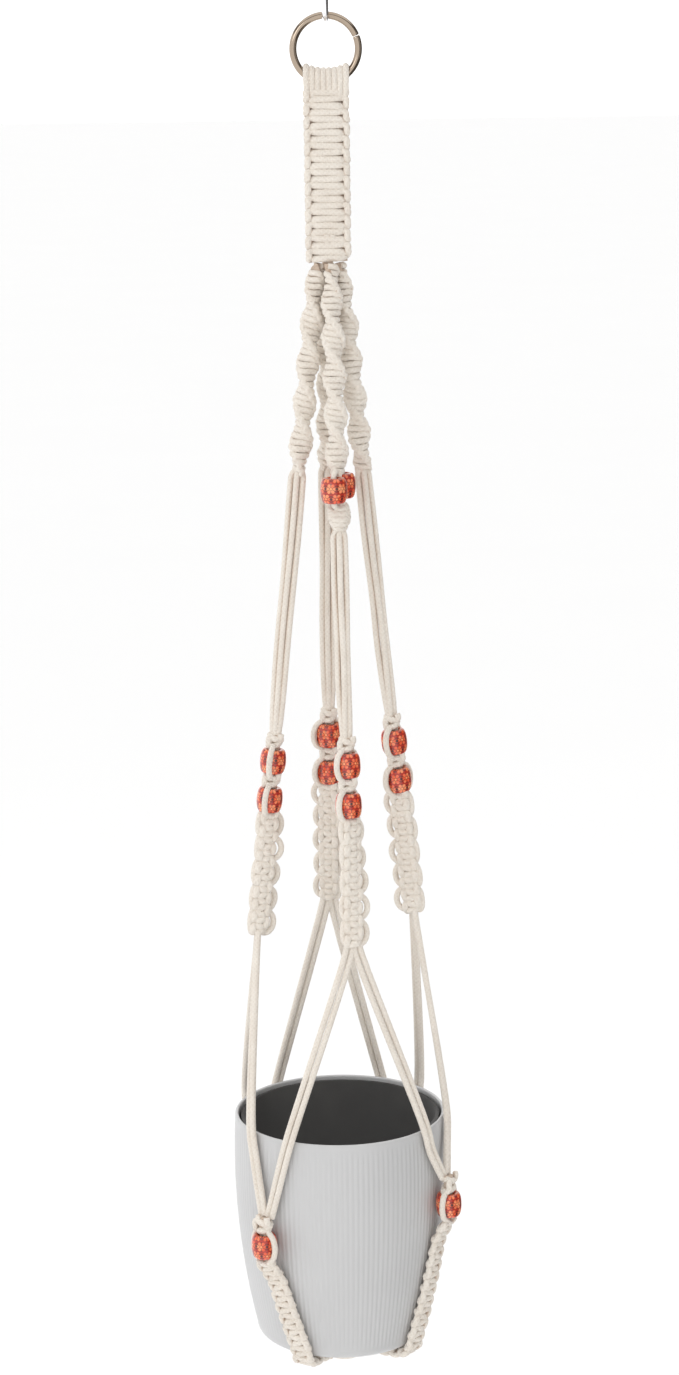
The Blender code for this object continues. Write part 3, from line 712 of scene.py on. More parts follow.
class PLANTER_PG_metal(bpy.types.PropertyGroup):
    """The hook's and the ring's plating."""

    chrome: colour_property("Chrome", "The S-hook's plating", (0.83, 0.83, 0.85))
    nickel: colour_property("Nickel", "The ring's plating", (0.37, 0.30, 0.235))
    nickel_dark: colour_property("Nickel, dull", "The ring's plating where it has dulled", (0.26, 0.19, 0.14))


class PLANTER_PG_pot(bpy.types.PropertyGroup):
    """The cover pot and the nursery pot."""

    ribs: IntProperty(name="Ribs", description="Upright ribs round the cover pot", default=128, min=12)
    rib_depth: length_property("Rib depth", "From a rib's crest to the valley beside it", 0.0003)
    white: colour_property("White", "The cover pot's plastic", (0.57, 0.57, 0.572))
    black: colour_property("Black", "The nursery pot's plastic", (0.018, 0.017, 0.016))


class PLANTER_PG_stage(bpy.types.PropertyGroup):
    """The camera and the floor."""

    distance: length_property("Camera distance", "From the hanging line to the camera", 2.36)
    pitch: FloatProperty(
        name="Camera pitch", description="How far the camera looks down", default=math.radians(12.2),
        unit="ROTATION", subtype="ANGLE",
    )
    roll: FloatProperty(
        name="Camera roll", description="How far the camera leans", default=math.radians(0.76),
        unit="ROTATION", subtype="ANGLE",
    )
    floor: colour_property("Floor", "The plain floor", (0.99, 0.99, 0.99))


# Geometry that several operators share


def leg_spine(leg, node, facing, turns=(0.0, 0.0)):
    """A leg's straight line between the heights of a node's ends, from the axis of its upper bead."""
    place, up = joint_line(f"{leg}_upper_bead_turn")
    bottom, top = box(node)[0][2], box(node)[1][2]
    heights = np.linspace(top, bottom, 24)
    points = place + up * ((heights - place[2]) / up[2])[:, None]
    return Spine(points, polar(facing, 1.0, 0.0), turns)


def down_to(spine, z):
    """How far down a nearly upright spine a height lies."""
    return float(np.interp(-z, -spine.points[:, 2], spine.down))


def ring_sizes():
    """The ring wire's own radius, the radius of its middle line, and the height of the ring's middle."""
    low, high = box("hanging_ring")
    return high[1], (high[2] - low[2]) / 2 - high[1], (high[2] + low[2]) / 2


def wall_radius(z):
    """Outer radius of the cover pot at a height above its base: a parabola about its widest height."""
    return box("cover_pot")[1][0] - POT_CURVE * (z - POT_WIDEST_HEIGHT) ** 2


def bead_azimuth_radius(cradle):
    place, _ = joint_line(f"{cradle}_bead_turn")
    return CRADLE_FEET[cradle][0], math.hypot(place[0], place[1]), place[2]


def past_bead(spine, middle, angle, radius, knot_half):
    """A working cord that leaves one knot, passes over the bead at an angle from its front, and enters
    the next: its distance from the spine is the bead's own outline and the cord's radius."""
    half = BEAD_LENGTH / 2
    down = np.linspace(-half - 0.005, half + 0.005, 27)
    share = np.clip(np.abs(down) / half, 0, 1)
    outline = BEAD_FACE / 2 + (BEAD_WIDTH - BEAD_FACE) / 2 * np.cos(share * np.pi / 2) ** 0.8
    reach = outline + radius + 0.0003
    past = np.clip((np.abs(down) - half * 0.86) / 0.0045, 0, 1)
    reach = reach + (knot_half - reach) * past * past * (3 - 2 * past)
    turn = math.radians(angle)
    path = spine.place(middle + down, reach * math.sin(turn), reach * math.cos(turn))
    return tube(path, radius * 0.97, spine.place(middle + down, 0, 0))


def bead_core(spine, start, end, radius):
    """The two filler cords that run through a bead's hole side by side."""
    down = np.linspace(start, end, 8)
    return [tube(spine.place(down, side * radius * 0.86, 0), radius * 0.84) for side in (-1, 1)]


def bead_shell(place, up):
    """A barrel bead with a straight hole and eased edges.

    Its outer half width is the face's plus the swell times a power of the cosine of the height. v of
    its print is the height along it as a share of its length.
    """
    half, hole = BEAD_LENGTH / 2, BEAD_HOLE / 2
    angle = np.linspace(np.pi / 2, -np.pi / 2, 25)
    outer = BEAD_FACE / 2 + (BEAD_WIDTH - BEAD_FACE) / 2 * np.cos(angle).clip(0) ** 0.8
    barrel = np.stack([outer, half * np.sin(angle)], -1)
    ease = 0.0006
    hole_side = [(hole + ease, -half), (hole, -half + ease), (hole, half - ease), (hole + ease, half)]
    profile = np.concatenate([barrel, hole_side, barrel[:1]])
    side = unit(np.cross([0.0, 1.0, 0.0], up))
    turn = np.stack([side, np.cross(up, side), up], 1)
    shell = turned(profile[::-1], 48, place, turn)
    heights = (shell["points"] - place) @ up / BEAD_LENGTH + 0.5
    shell["quad_uv"][:, 1] = np.clip(heights[shell["quads"].reshape(-1)], 0.001, 0.999)
    return shell


# Operators


class PLANTER_OT_stage(bpy.types.Operator):
    """Make the camera, the lights and the floor"""

    bl_idname = "planter.stage"
    bl_label = "Stage"

    SENSOR = 36.0
    LENS = 81.9
    AIM = (0.0, 0.0, -0.6)
    # Each light's name, place, size and power
    LIGHTS = (
        ("key", (-1.2, -2.0, 0.6), 0.9, 5.5),
        ("fill", (1.9, -1.2, 0.0), 1.6, 3.0),
        ("rim", (-0.9, 1.7, 0.8), 1.0, 3.0),
    )

    def execute(self, context):
        scene, settings = context.scene, context.scene.planter_stage
        ring_top = box("hanging_ring")[1][2]
        camera = bpy.data.objects.new("camera", bpy.data.cameras.new("camera"))
        scene.collection.objects.link(camera)
        camera.data.sensor_width = self.SENSOR
        camera.data.lens = self.LENS
        camera.location = (0.004, -settings.distance, ring_top)
        tilt = Euler((math.pi / 2 - settings.pitch, 0, 0)).to_matrix()
        camera.rotation_euler = (tilt @ Matrix.Rotation(-settings.roll, 3, "Z")).to_euler()
        scene.camera = camera
        self.floor(scene, settings)
        self.lights(scene)
        return {"FINISHED"}

    def floor(self, scene, settings):
        """A plain sheet well under the pot, since the planter hangs."""
        z = CAD_BOX[0][2] - 0.35
        mesh = bpy.data.meshes.new("floor")
        mesh.from_pydata([(-40, -40, z), (40, -40, z), (40, 40, z), (-40, 40, z)], [], [(0, 1, 2, 3)])
        floor = bpy.data.objects.new("floor", mesh)
        scene.collection.objects.link(floor)

        def build(wiring, shader, inputs):
            pale = np.array(settings.floor)
            mixed = wiring.mix(grain(wiring, 2.0, 60.0)["Broad"], (*pale, 1.0), (*(pale * 0.985), 1.0))
            wiring.feed(inputs["Base Color"], mixed)
            inputs["Roughness"].default_value = 0.9

        mesh.materials.append(new_material("studio floor", build))
        floor.visible_glossy = False

    def lights(self, scene):
        """A bright even room, whose dark side and band only reflections and light rays meet, and lamps."""
        world = bpy.data.worlds.new("room")
        world.use_nodes = True
        wiring = Wiring(world.node_tree)
        parts = wiring.node("ShaderNodeTexCoord").outputs["Generated"]
        parts = wiring.node("ShaderNodeSeparateXYZ", {0: parts}).outputs
        flag = wiring.math("MULTIPLY", wiring.ramp(parts[0], 0.38, 0.55), wiring.ramp(parts[2], 0.75, 0.55))
        slit = wiring.math("MULTIPLY", wiring.ramp(parts[2], 0.35, 0.45), wiring.ramp(parts[2], 0.72, 0.6))
        flag, slit = wiring.math("MULTIPLY", flag, 0.92), wiring.math("MULTIPLY", slit, 0.75)
        dark = wiring.math("MAXIMUM", flag, slit)
        seen = wiring.node("ShaderNodeLightPath").outputs["Is Camera Ray"]
        dark = wiring.math("MULTIPLY", dark, wiring.math("SUBTRACT", 1.0, seen))
        room = world.node_tree.nodes["Background"].inputs
        wiring.feed(room["Color"], wiring.mix(dark, (1.0, 1.0, 1.0, 1.0), (0.03, 0.025, 0.02, 1.0)))
        room["Strength"].default_value = 1.36
        scene.world = world
        scene.view_settings.view_transform = "Standard"
        for name, place, size, power in self.LIGHTS:
            data = bpy.data.lights.new(name, "AREA")
            data.size, data.energy = size, power
            light = bpy.data.objects.new(name, data)
            light.location = place
            aim = Vector(self.AIM) - light.location
            light.rotation_euler = aim.to_track_quat("-Z", "Y").to_euler()
            scene.collection.objects.link(light)


class PLANTER_OT_straight_cords(bpy.types.Operator):
    """Make the four straight cords of each leg"""

    bl_idname = "planter.straight_cords"
    bl_label = "Straight cords"

    # Each cord's distance across and out, in cord diameters, where the four lie side by side
    LIE = ((-1.12, 0.0), (-0.14, 0.32), (0.86, 0.05), (0.30, -0.72))
    # Which way each leg's four cords face, in degrees
    FACING = {"front": -2.0, "right": 14.0, "back": 8.0, "left": -10.0}
    # How far under the spiral the cords are still drawn together, and how far over the collar
    TOP_PINCH = 0.007
    FOOT_PINCH = 0.016

    def execute(self, context):
        diameter = context.scene.planter_cord.diameter
        for leg, facing in self.FACING.items():
            chance = np.random.default_rng(SEED + len(leg))
            spine = leg_spine(leg, f"{leg}_cords", facing)
            share = np.concatenate([np.linspace(0, 0.05, 12)[:-1], np.linspace(0.05, 1, 36)])
            top = np.clip(share * spine.length / self.TOP_PINCH, 0, 1)
            foot = np.exp(-(1 - share) * spine.length / self.FOOT_PINCH)
            pinch = (np.sqrt(1 - 0.9 * (1 - top) ** 2) - 0.42 * foot) * (0.95 - 0.17 * share)
            for number, (across, out) in enumerate(self.LIE, 1):
                bow = np.sin(np.pi * share) * chance.normal(0, 0.0005)
                waver = 0.0003 * np.sin(2 * np.pi * (share * chance.uniform(1.2, 2.2) + chance.uniform()))
                across_it = across * diameter * pinch + bow + waver
                path = spine.place(spine.length * share, across_it, out * diameter * pinch + bow)
                middle = spine.place(spine.length * share, 0, -0.0008)
                replaced = [f"{leg}_cords"] if number == 1 else []
                free_cord(f"{leg}_straight_cord_{number}", path, diameter, replaced, middle)
        return {"FINISHED"}


class PLANTER_OT_pair_cords(bpy.types.Operator):
    """Make the pairs of cords that run from the legs over the rim to the cradle"""

    bl_idname = "planter.pair_cords"
    bl_label = "Cords over the rim"

    def execute(self, context):
        diameter = context.scene.planter_cord.diameter
        for leg, cradle, side in PAIRS:
            node = f"{leg}_to_{cradle}_cords"
            route = smooth_curve(self.route(leg, cradle, side), 0.006)
            along = unit(np.gradient(route, axis=0))
            level = unit(route * [1, 1, 0])
            across = unit(np.cross(along, level))
            share = np.linspace(0, 1, len(route))[:, None]
            spread = diameter * (0.52 - 0.12 * np.exp(-share / 0.06) - 0.1 * np.exp(-(1 - share) / 0.06))
            for number, way in (("1", -1), ("2", 1)):
                path = route + across * spread * way
                free_cord(f"{leg}_to_{cradle}_cord_{number}", path, diameter, [node] if number == "1" else [])
        return {"FINISHED"}

    def route(self, leg, cradle, side):
        """From the leg's end over the rim, in to the wall, and down to the cradle knot."""
        half = PAIR_CORDS / 2
        place, up = joint_line(f"{leg}_upper_bead_turn")
        low = box(f"{leg}_knotted_leg")[0][2] - 0.0035
        end_of_leg = place + up * ((low - place[2]) / up[2])
        azimuth = math.degrees(math.atan2(place[0], -place[1]))
        start = end_of_leg + sideways(azimuth) * side * (half + GAP)
        knot_azimuth, knot_radius, _ = bead_azimuth_radius(cradle)
        rim_azimuth = knot_azimuth - side * RIM_SPREAD
        rim_z = box("cover_pot")[1][2]
        base_z = box("cover_pot")[0][2]
        clear = half + 2 * GAP
        over_rim = polar(rim_azimuth, wall_radius(rim_z - base_z) + clear, rim_z + half)
        under_rim = polar(
            rim_azimuth + side * RIM_SPREAD * 0.25, box("cover_pot")[1][0] + clear, rim_z - PAIR_CORDS * 2.5
        )
        top = box(f"{cradle}_cradle_knot")[1][2] + GAP
        end = polar(knot_azimuth, knot_radius - half, top) - sideways(knot_azimuth) * (side * (half + GAP))
        inside = end_of_leg + up * 0.007 + sideways(azimuth) * side * half * 0.8
        return [inside, start, over_rim, under_rim, end]


class PLANTER_OT_hook(bpy.types.Operator):
    """Make the S-hook and its two balls"""

    bl_idname = "planter.hook"
    bl_label = "S-hook"

    def bend(self, centre_z, radius, start, end):
        """Points of a bend in the hook's plane; angles run from -Y towards +Z."""
        angle = np.radians(np.linspace(start, end, 60))
        return np.stack([0 * angle, -radius * np.cos(angle), centre_z + radius * np.sin(angle)], -1)

    def execute(self, context):
        wire = box("s_hook")[1][0]
        upper_z = wire - HOOK_UPPER_BEND
        lower_z = upper_z - HOOK_BEND_SPACING
        cross = math.degrees(math.asin((HOOK_UPPER_BEND + HOOK_LOWER_BEND) / HOOK_BEND_SPACING))
        upper = self.bend(upper_z, HOOK_UPPER_BEND, HOOK_UPPER_TIP, 180 + cross)
        lower = self.bend(lower_z, HOOK_LOWER_BEND, cross, -HOOK_LOWER_TIP)
        upper_ball = upper[0] + unit(upper[0] - upper[1]) * HOOK_UPPER_TAIL
        lower_ball = lower[-1] + unit(lower[-1] - lower[-2]) * HOOK_LOWER_TAIL
        straight = upper[-1] + (lower[0] - upper[-1]) * np.linspace(0.1, 0.9, 9)[:, None]
        path = np.concatenate([[upper_ball], upper, straight, lower, [lower_ball]])
        make_mesh("hook_wire", [tube(path, wire, sides=24)], chrome(), "hook", ["s_hook"])
        for which, place in (("upper", upper_ball), ("lower", lower_ball)):
            node = f"s_hook_{which}_ball"
            angle = np.linspace(-np.pi / 2, np.pi / 2, 25)
            radius = (box(node)[1][0] - box(node)[0][0]) / 2
            profile = np.stack([radius * np.cos(angle).clip(1e-5), radius * np.sin(angle)], -1)
            ball = turned(profile, 32, place)
            make_mesh(f"hook_{which}_ball", [ball], chrome(), "hook", [node])
        return {"FINISHED"}


class PLANTER_OT_ring(bpy.types.Operator):
    """Make the split ring"""

    bl_idname = "planter.ring"
    bl_label = "Ring"

    def execute(self, context):
        wire, radius, middle = ring_sizes()
        gap = RING_JOINT_GAP / 2 / radius
        start = math.radians(RING_JOINT_AZIMUTH)
        angle = np.linspace(start + gap, start + 2 * np.pi - gap, 181)
        path = np.stack([radius * np.cos(angle), 0 * angle, middle + radius * np.sin(angle)], -1)
        thick = np.full(len(angle), wire)
        thick[[0, -1]] = wire * 0.86
        shell = tube(path, thick, sides=24)
        make_mesh("ring_wire", [shell], nickel(), "ring", ["hanging_ring"])
        return {"FINISHED"}


class PLANTER_OT_column(bpy.types.Operator):
    """Make the folds over the ring and the square-knot column under it"""

    bl_idname = "planter.column"
    bl_label = "Folds and column"

    FOLDS = 8
    FOLD_SPACING = 0.0042
    PLAY = 0.0012
    # How much of the ring's curve the folds follow, and how high they stand in its middle, as cords
    # that are bunched together on a ring do
    FOLLOW = 0.75
    RISE = 0.010
    # How far the folds' legs run into the column, and how far apart its front and back cords lie
    INTO_COLUMN = 0.006
    FROM_MIDDLE = 0.0042

    def execute(self, context):
        settings = context.scene.planter_cord
        radius = settings.diameter / 2
        low, high = box("gathering_column")
        points = np.stack([np.zeros(12), np.zeros(12), np.linspace(high[2], low[2], 12)], -1)
        spine = Spine(points, polar(0, 1.0, 0.0))
        chance = np.random.default_rng(SEED)
        rows = knots(
            spine, 0.0005, spine.length - 0.0005, high[0] - low[0], high[1] - low[1], radius * 1.04,
            settings.row * 0.985, chance,
        )
        cotton_piece("square_knot_column", rows, "gathering_column")
        self.folds(radius, high[2])
        return {"FINISHED"}

    def folds(self, radius, column_top):
        """Each fold is an upside-down U round the ring's wire, with legs that run into the column."""
        wire, ring_radius, middle = ring_sizes()
        bend = wire + self.PLAY + radius
        turn = np.linspace(0, np.pi, 17)
        shells = []
        for number in range(self.FOLDS):
            at = (number - (self.FOLDS - 1) / 2) * self.FOLD_SPACING
            wire_z = middle - math.sqrt(ring_radius**2 - (at * self.FOLLOW) ** 2 - self.RISE**2)
            leg = np.linspace(0, 1, 9)[:, None]
            foot = np.array([at * 0.96, -self.FROM_MIDDLE, column_top - self.INTO_COLUMN])
            knee = np.array([at, -bend, wire_z])
            front = foot + (knee - foot) * leg
            front[:, 1] = foot[1] + (knee[1] - foot[1]) * np.sin(leg[:, 0] * np.pi / 2)
            over = np.stack([0 * turn + at, -bend * np.cos(turn), wire_z + bend * np.sin(turn)], -1)
            back = front[::-1] * [1, -1, 1]
            path = np.concatenate([front[:-1], over, back[1:]])
            centre = np.stack([path[:, 0] * 0 + at, path[:, 1] * 0, np.minimum(path[:, 2], wire_z)], -1)
            shells.append(tube(path, radius, centre))
        cotton_piece("cord_folds", shells, "ring_loops")


class PLANTER_OT_spirals(bpy.types.Operator):
    """Make the half-knot spiral at the top of each leg"""

    bl_idname = "planter.spirals"
    bl_label = "Spirals"

    WIDTH = 0.0185
    DEPTH = 0.0118
    # How slim a spiral is at its top and at its foot, as shares of its width, and over what lengths
    TOP_SLIM, TOP_RUN = 0.74, 0.045
    FOOT_SLIM, FOOT_RUN = {"front": 0.9, "right": 0.66, "back": 0.66, "left": 0.66}, 0.010

    def execute(self, context):
        settings = context.scene.planter_cord
        radius = settings.diameter / 2
        for leg, (first, half_turn) in SPIRALS.items():
            node = f"{leg}_spiral"
            chance = np.random.default_rng(SEED + 10 + len(leg))
            spine = leg_spine(leg, node, 0.0)
            long = spine.length
            spine.turns = (first, first + 180 * long / half_turn)
            places = [0.0, self.TOP_RUN, long - self.FOOT_RUN, long]
            slim = (places, [self.TOP_SLIM, 1.0, 1.0, self.FOOT_SLIM[leg]])
            rows = knots(
                spine, 0.0, long, self.WIDTH, self.DEPTH, radius, settings.row, chance,
                lay=half_knot_cords, scale=slim,
            )
            rows += self.gathered(spine.points[0], spine.points[1], radius)
            cotton_piece(f"{leg}_spiral_knots", rows, node)
        return {"FINISHED"}

    def gathered(self, top, below, radius):
        """Two of the leg's cords where they lie inside the foot of the column."""
        foot = np.array([top[0] * 0.6, top[1] * 0.45, box("gathering_column")[0][2] + 0.005])
        apart = np.array([0.0022, 0.0, 0.0])
        share = np.linspace(0, 1, 8)[:, None]
        path = foot + (top + unit(below - top) * 0.008 - foot) * share
        return [tube(path + apart * way, radius) for way in (-1, 1)]


class PLANTER_OT_knotted_legs(bpy.types.Operator):
    """Make each leg's collar, the cords past its beads, its middle knot and its sennit with side loops"""

    bl_idname = "planter.knotted_legs"
    bl_label = "Knotted legs"

    # The widths and depths of the collar, the middle knot and the sennit
    COLLAR = (0.0138, 0.0112)
    MIDDLE = (0.0146, 0.0120)
    SENNIT = (0.0154, 0.0128)
    # Where the front cord past the upper and the lower bead runs, in degrees from the leg's front, and
    # how far round from it the other cord runs
    PAST = {"front": (-38.0, -34.0), "right": (-30.0, -52.0), "back": (-70.0, -60.0), "left": (-12.0, -16.0)}
    OPPOSITE = 185.0
    # How far the side loops of the closed side reach, as a share of the open side's
    PULLED = 0.74

    def execute(self, context):
        settings = context.scene.planter_cord
        radius = settings.diameter / 2
        for leg in ("front", "right", "back", "left"):
            node = f"{leg}_knotted_leg"
            chance = np.random.default_rng(SEED + 20 + len(leg))
            spine = leg_spine(leg, node, 0.0)
            places = [joint_line(f"{leg}_{which}_bead_turn")[0] for which in ("upper", "lower")]
            beads = [down_to(spine, place[2]) for place in places]
            half = BEAD_LENGTH / 2 + GAP
            shells = knots(spine, 0.0, beads[0] - half, *self.COLLAR, radius * 0.95, settings.row, chance)
            between = (beads[0] + half, beads[1] - half)
            shells += knots(spine, *between, *self.MIDDLE, radius * 0.97, settings.row, chance)
            for bead, angle in zip(beads, self.PAST[leg]):
                for turn in (angle, angle + self.OPPOSITE):
                    shells.append(past_bead(spine, bead, turn, radius, 0.0048))
                shells += bead_core(spine, bead - half - 0.003, bead + half + 0.003, radius)
            facing, twist, open_side = SENNIT_FACING[leg]
            turned_spine = leg_spine(leg, node, 0.0, (facing, facing + twist))
            shells += self.sennit(turned_spine, beads[1] + half, open_side, settings, radius, chance)
            cotton_piece(f"{leg}_knots", shells, node)
        return {"FINISHED"}

    def sennit(self, spine, start, open_side, settings, radius, chance):
        """Square knots over fillers, with a loop of spare cord on each side of every second knot."""
        end = spine.length - 0.0005
        shells = knots(spine, start, end, *self.SENNIT, radius * 1.1, settings.row, chance)
        count = round((end - start) / settings.picot_step)
        step = (end - start) / count
        for number in range(count):
            for side in (-1, 1):
                middle = start + (number + 0.5) * step + side * 0.0008 + chance.normal(0, 0.0005)
                pulled = 1.0 if side == open_side else self.PULLED
                reach = settings.picot_reach * pulled * chance.uniform(0.93, 1.06)
                lean = chance.normal(0, 0.0012)
                shells.append(picot(spine, middle, step * 0.88, side, 0.0150, reach, radius * 0.98, lean))
        return shells


class PLANTER_OT_bead_pair(bpy.types.Operator):
    """Make the cords through the two beads on the front leg, and the knot under them"""

    bl_idname = "planter.bead_pair"
    bl_label = "Cords at the bead pair"

    KNOT = (0.0180, 0.0160)
    INNER_CORD = 0.0020

    def execute(self, context):
        settings = context.scene.planter_cord
        radius = settings.diameter / 2
        node = "front_pair_knot"
        chance = np.random.default_rng(SEED + 40)
        spine = leg_spine("front", node, -10.0, (-10.0, 30.0))
        knot = BEAD_LENGTH + 3 * GAP
        down = np.linspace(-0.002, knot + 0.004, 10)
        shells = [tube(spine.place(down, 0, 0), self.INNER_CORD)]
        span = spine.length - knot
        slim = ([knot, knot + 0.3 * span, knot + 0.6 * span, spine.length], [0.62, 0.98, 1.0, 0.5])
        shells += knots(
            spine, knot, spine.length, *self.KNOT, radius * 1.12, settings.row * 0.9, chance,
            lay=half_knot_cords, scale=slim,
        )
        cotton_piece("bead_pair_knot", shells, node)
        for which in ("outer", "inner"):
            place, up = joint_line(f"front_{which}_bead_turn")
            leg_place = spine.place(np.array([BEAD_LENGTH / 2]), 0, 0)[0]
            top = leg_place + [0, 0, BEAD_LENGTH / 2 + 0.004]
            foot = leg_place - [0, 0, BEAD_LENGTH / 2 + 0.006]
            half = up * (BEAD_LENGTH / 2)
            path = smooth_curve([top, place + half * 1.12, place, place - half * 1.12, foot], 0.002)
            cotton_piece(f"{which}_bead_cord", [tube(path, radius * 0.92)], f"front_{which}_bead_cord")
        return {"FINISHED"}


class PLANTER_OT_beads(bpy.types.Operator):
    """Make the fourteen printed beads"""

    bl_idname = "planter.beads"
    bl_label = "Beads"

    def execute(self, context):
        for node in sorted(n for n in frame["nodes"] if n.endswith("_bead")):
            place, up = joint_line(f"{node}_turn")
            shell = bead_shell(place, up)
            make_mesh(f"{node}_printed", [shell], printed_wood(), node, [node])
        return {"FINISHED"}


class PLANTER_OT_cradle(bpy.types.Operator):
    """Make the cradle knots, the cords past their beads and the straps"""

    bl_idname = "planter.cradle"
    bl_label = "Cradle"

    KNOT = (0.0165, 0.0115)
    # Where the two cords past each bead run, in degrees from the bead's outward side
    PAST = {
        "front_left": (80.0, -100.0), "front_right": (-88.0, 92.0),
        "back_right": (-80.0, 96.0), "back_left": (84.0, -92.0),
    }

    def execute(self, context):
        settings = context.scene.planter_cord
        radius = settings.diameter / 2
        for number, cradle in enumerate(CRADLE_FEET):
            chance = np.random.default_rng(SEED + 50 + number)
            azimuth, reach, bead_z = bead_azimuth_radius(cradle)
            node = f"{cradle}_cradle_knot"
            low, high = box(node)
            heights = np.linspace(high[2], low[2], 12)
            spine = Spine(polar(azimuth, reach, heights), polar(azimuth, 1.0, 0.0))
            bead = down_to(spine, bead_z)
            half = BEAD_LENGTH / 2 + GAP
            shells = knots(spine, 0.0, bead - half, *self.KNOT, radius, settings.row, chance)
            for angle in self.PAST[cradle]:
                shells.append(past_bead(spine, bead, angle, radius, 0.0052))
            shells += bead_core(spine, bead - half - 0.002, bead + half, radius)
            cotton_piece(f"{cradle}_knot", shells, node)
            self.strap(cradle, settings, radius, chance)
        return {"FINISHED"}

    def strap(self, cradle, settings, radius, chance):
        """A flat square-knot band down the wall, round the foot and under the base."""
        route, facing = strap_route(cradle)
        spine = Spine(route, facing)
        rows = knots(
            spine, 0.0, spine.length - 0.001, STRAP_WIDTH, STRAP_THICKNESS, radius * 0.98, settings.row,
            chance, press=(0.98, 1.1),
        )
        cotton_piece(f"{cradle}_strap_knots", rows, f"{cradle}_strap")


def strap_route(cradle):
    """A strap's centre line, and the way it faces: off the wall, then down under the base."""
    top_azimuth, foot_azimuth = CRADLE_FEET[cradle]
    _, reach, bead_z = bead_azimuth_radius(cradle)
    base_z = box("cover_pot")[0][2]
    knot_low, knot_high = box("bottom_knot")
    off = STRAP_THICKNESS / 2 + 2 * GAP
    top = bead_z - base_z - BEAD_LENGTH / 2 - 0.003
    landing = top - BEAD_LENGTH
    heights = np.linspace(landing, POT_FOOT_FILLET, 8)
    azimuths = top_azimuth + (foot_azimuth - top_azimuth) * (top - heights) / (top - POT_FOOT_FILLET)
    wall = polar(azimuths, wall_radius(heights) + off, base_z + heights)
    angle = np.radians([30, 60, 90])
    round_foot = POT_FOOT_FILLET + off
    foot_radius = wall_radius(POT_FOOT_FILLET) - POT_FOOT_FILLET + round_foot * np.cos(angle)
    foot = polar(foot_azimuth, foot_radius, base_z + POT_FOOT_FILLET - round_foot * np.sin(angle))
    knot = (knot_low + knot_high) / 2
    knot[2] = foot[-1][2]
    inward = unit(knot - foot[-1])
    end = knot - inward * ((knot_high[0] - knot_low[0]) / 2 - 0.002)
    start = polar(top_azimuth, reach, base_z + top)
    route = smooth_curve(np.concatenate([[start], wall, foot, [end]]), 0.003)
    under = np.clip((base_z + POT_FOOT_FILLET - route[:, 2]) / round_foot, 0, 1)[:, None]
    level = unit(route * [1, 1, 0])
    return route, level * np.cos(under * np.pi / 2) + np.array([0, 0, -1.0]) * np.sin(under * np.pi / 2)


class PLANTER_OT_bottom_knot(bpy.types.Operator):
    """Make the wrapped knot under the pot"""

    bl_idname = "planter.bottom_knot"
    bl_label = "Bottom knot"

    TURNS = 3.6

    def execute(self, context):
        radius = context.scene.planter_cord.diameter / 2
        low, high = box("bottom_knot")
        centre, half = (low + high) / 2, (high - low) / 2
        share = np.linspace(0, 1, 150)
        angle = 2 * np.pi * self.TURNS * share
        height = (half[2] - radius) * (1 - 2 * share) * 0.82
        reach = (half[0] - radius) * np.sqrt(1 - (height / half[2]) ** 2 * 0.75)
        wrap = centre + np.stack([reach * np.cos(angle), reach * np.sin(angle), height], -1)
        shells = [tube(wrap, radius, centre + np.stack([0 * height, 0 * height, height], -1))]
        for turn in (0.4, 0.4 + np.pi / 2):
            bend = np.linspace(0.18 * np.pi, 0.82 * np.pi, 25)
            across = (half[0] - radius) * 0.86 * np.cos(bend)
            drop = -(half[2] - radius * (0.9 + 0.35 * (turn > 1))) * np.sin(bend) ** 0.7
            over = centre + np.stack([across * math.cos(turn), across * math.sin(turn), drop], -1)
            shells.append(tube(over, radius, np.broadcast_to(centre, over.shape)))
        rise = np.linspace(-np.pi / 2, np.pi / 2, 17)
        wide, tall = (half[0] - radius * 1.3) * np.cos(rise).clip(1e-4), (half[2] - radius) * np.sin(rise)
        body = np.stack([wide, tall], -1)
        core = turned(body, 32, centre)
        # The wrapped core is marked as lying almost fully in painted shade
        core["deep"][:] = 0.95
        cotton_piece("bottom_wrap", [*shells, core], "bottom_knot")
        return {"FINISHED"}


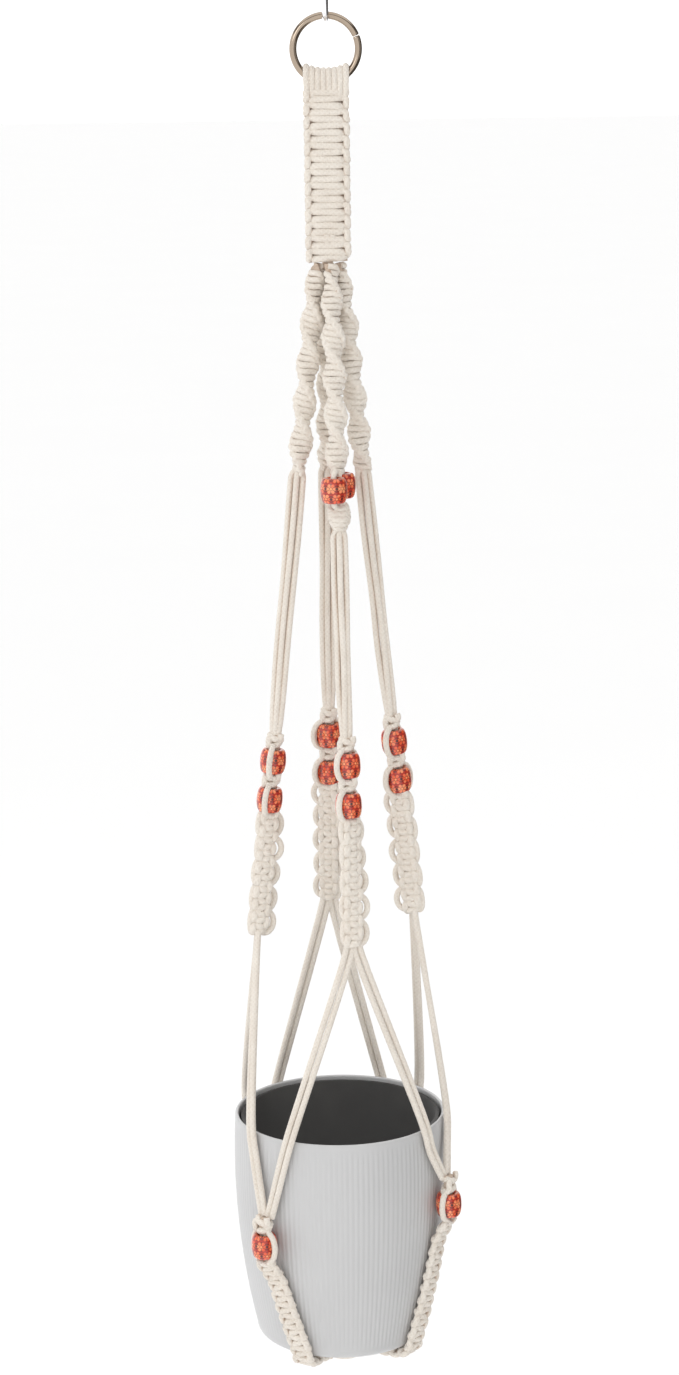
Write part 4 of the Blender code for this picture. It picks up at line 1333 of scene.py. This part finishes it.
class PLANTER_OT_pots(bpy.types.Operator):
    """Make the ribbed cover pot and the nursery pot in it"""

    bl_idname = "planter.pots"
    bl_label = "Pots"

    # Half the lip's thickness up, the plain bands under the lip and over the foot, and their fades
    LIP_RISE = 0.00125
    BAND, FADE = (0.005, 0.007), (0.004, 0.006)

    def execute(self, context):
        settings = context.scene.planter_pot
        low, high = box("cover_pot")
        tall = high[2] - low[2]
        heights = np.linspace(tall - 0.0012, POT_FOOT_FILLET, 40)
        corner = np.radians(np.linspace(0, 90, 9)[1:])
        foot_radius = wall_radius(POT_FOOT_FILLET) - POT_FOOT_FILLET
        foot = np.stack(
            [foot_radius + POT_FOOT_FILLET * np.cos(corner), POT_FOOT_FILLET * (1 - np.sin(corner))], -1
        )
        outer = np.stack([wall_radius(heights), heights], -1)
        lip_turn = np.radians(np.linspace(180, 0, 9))
        lip_middle = wall_radius(tall) - POT_WALL / 2
        lip = np.stack(
            [lip_middle + POT_WALL / 2 * np.cos(lip_turn), tall + self.LIP_RISE * (np.sin(lip_turn) - 1)], -1
        )
        inner_heights = np.linspace(POT_FLOOR + 0.002, tall - 0.002, 16)
        inner = np.stack([wall_radius(inner_heights) - POT_WALL, inner_heights], -1)
        inner[0, 0] -= 0.001
        floor = [(0.0001, POT_FLOOR), (foot_radius, POT_FLOOR)]
        profile = np.concatenate([floor, inner, lip, outer, foot, [(0.0001, 0.0)], floor[:1]])
        share = np.zeros(len(profile))
        first = len(floor) + len(inner) + len(lip)
        under_lip = np.clip((tall - self.BAND[0] - heights) / self.FADE[0], 0, 1)
        over_foot = np.clip((heights - self.BAND[1]) / self.FADE[1], 0, 1)
        share[first:first + len(heights)] = under_lip * over_foot
        ribs = (settings.ribs, settings.rib_depth, share)
        shell = turned(profile, settings.ribs * 8, (0, 0, low[2]), ribs=ribs)
        make_mesh("ribbed_cover_pot", [shell], white_plastic(), "cover_pot", ["cover_pot"])
        self.nursery()
        return {"FINISHED"}

    def nursery(self):
        """The CAD node's own shape, drain holes and all, merged and shaded smooth."""
        node = frame["nodes"]["nursery_pot"]
        mesh = node.data.copy()
        piece = bpy.data.objects.new("nursery_pot_shell", mesh)
        bpy.context.scene.collection.objects.link(piece)
        mesh.materials.clear()
        mesh.materials.append(black_plastic())
        weld = piece.modifiers.new("merge", "WELD")
        weld.merge_threshold = 1e-5
        made = bpy.data.meshes.new_from_object(piece.evaluated_get(bpy.context.evaluated_depsgraph_get()))
        piece.modifiers.clear()
        piece.data = made
        made.shade_smooth()
        made.set_sharp_from_angle(angle=math.radians(35))
        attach(piece, "nursery_pot")
        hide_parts("nursery_pot")


class PLANTER_PT_panel(bpy.types.Panel):
    """Lists the planter's pieces"""

    bl_label = "Planter"
    bl_category = "Planter"
    bl_space_type = "VIEW_3D"
    bl_region_type = "UI"

    def draw(self, context):
        for operator in OPERATORS:
            self.layout.operator(operator.bl_idname)
        for name, group in SETTINGS:
            column = self.layout.column(align=True)
            for label in group.__annotations__:
                column.prop(getattr(context.scene, name), label)


SETTINGS = (
    ("planter_cord", PLANTER_PG_cord),
    ("planter_bead", PLANTER_PG_bead),
    ("planter_metal", PLANTER_PG_metal),
    ("planter_pot", PLANTER_PG_pot),
    ("planter_stage", PLANTER_PG_stage),
)
OPERATORS = (
    PLANTER_OT_stage,
    PLANTER_OT_straight_cords,
    PLANTER_OT_pair_cords,
    PLANTER_OT_hook,
    PLANTER_OT_ring,
    PLANTER_OT_column,
    PLANTER_OT_spirals,
    PLANTER_OT_knotted_legs,
    PLANTER_OT_bead_pair,
    PLANTER_OT_beads,
    PLANTER_OT_cradle,
    PLANTER_OT_bottom_knot,
    PLANTER_OT_pots,
)


def register():
    for name, group in SETTINGS:
        bpy.utils.register_class(group)
        setattr(bpy.types.Scene, name, PointerProperty(type=group))
    for operator in OPERATORS:
        bpy.utils.register_class(operator)
    bpy.utils.register_class(PLANTER_PT_panel)


def unregister():
    bpy.utils.unregister_class(PLANTER_PT_panel)
    for operator in reversed(OPERATORS):
        bpy.utils.unregister_class(operator)
    for name, group in reversed(SETTINGS):
        delattr(bpy.types.Scene, name)
        bpy.utils.unregister_class(group)


def main():
    register()
    for operator in OPERATORS:
        group, name = operator.bl_idname.split(".")
        getattr(getattr(bpy.ops, group), name)()


if __name__ == "__main__":
    main()
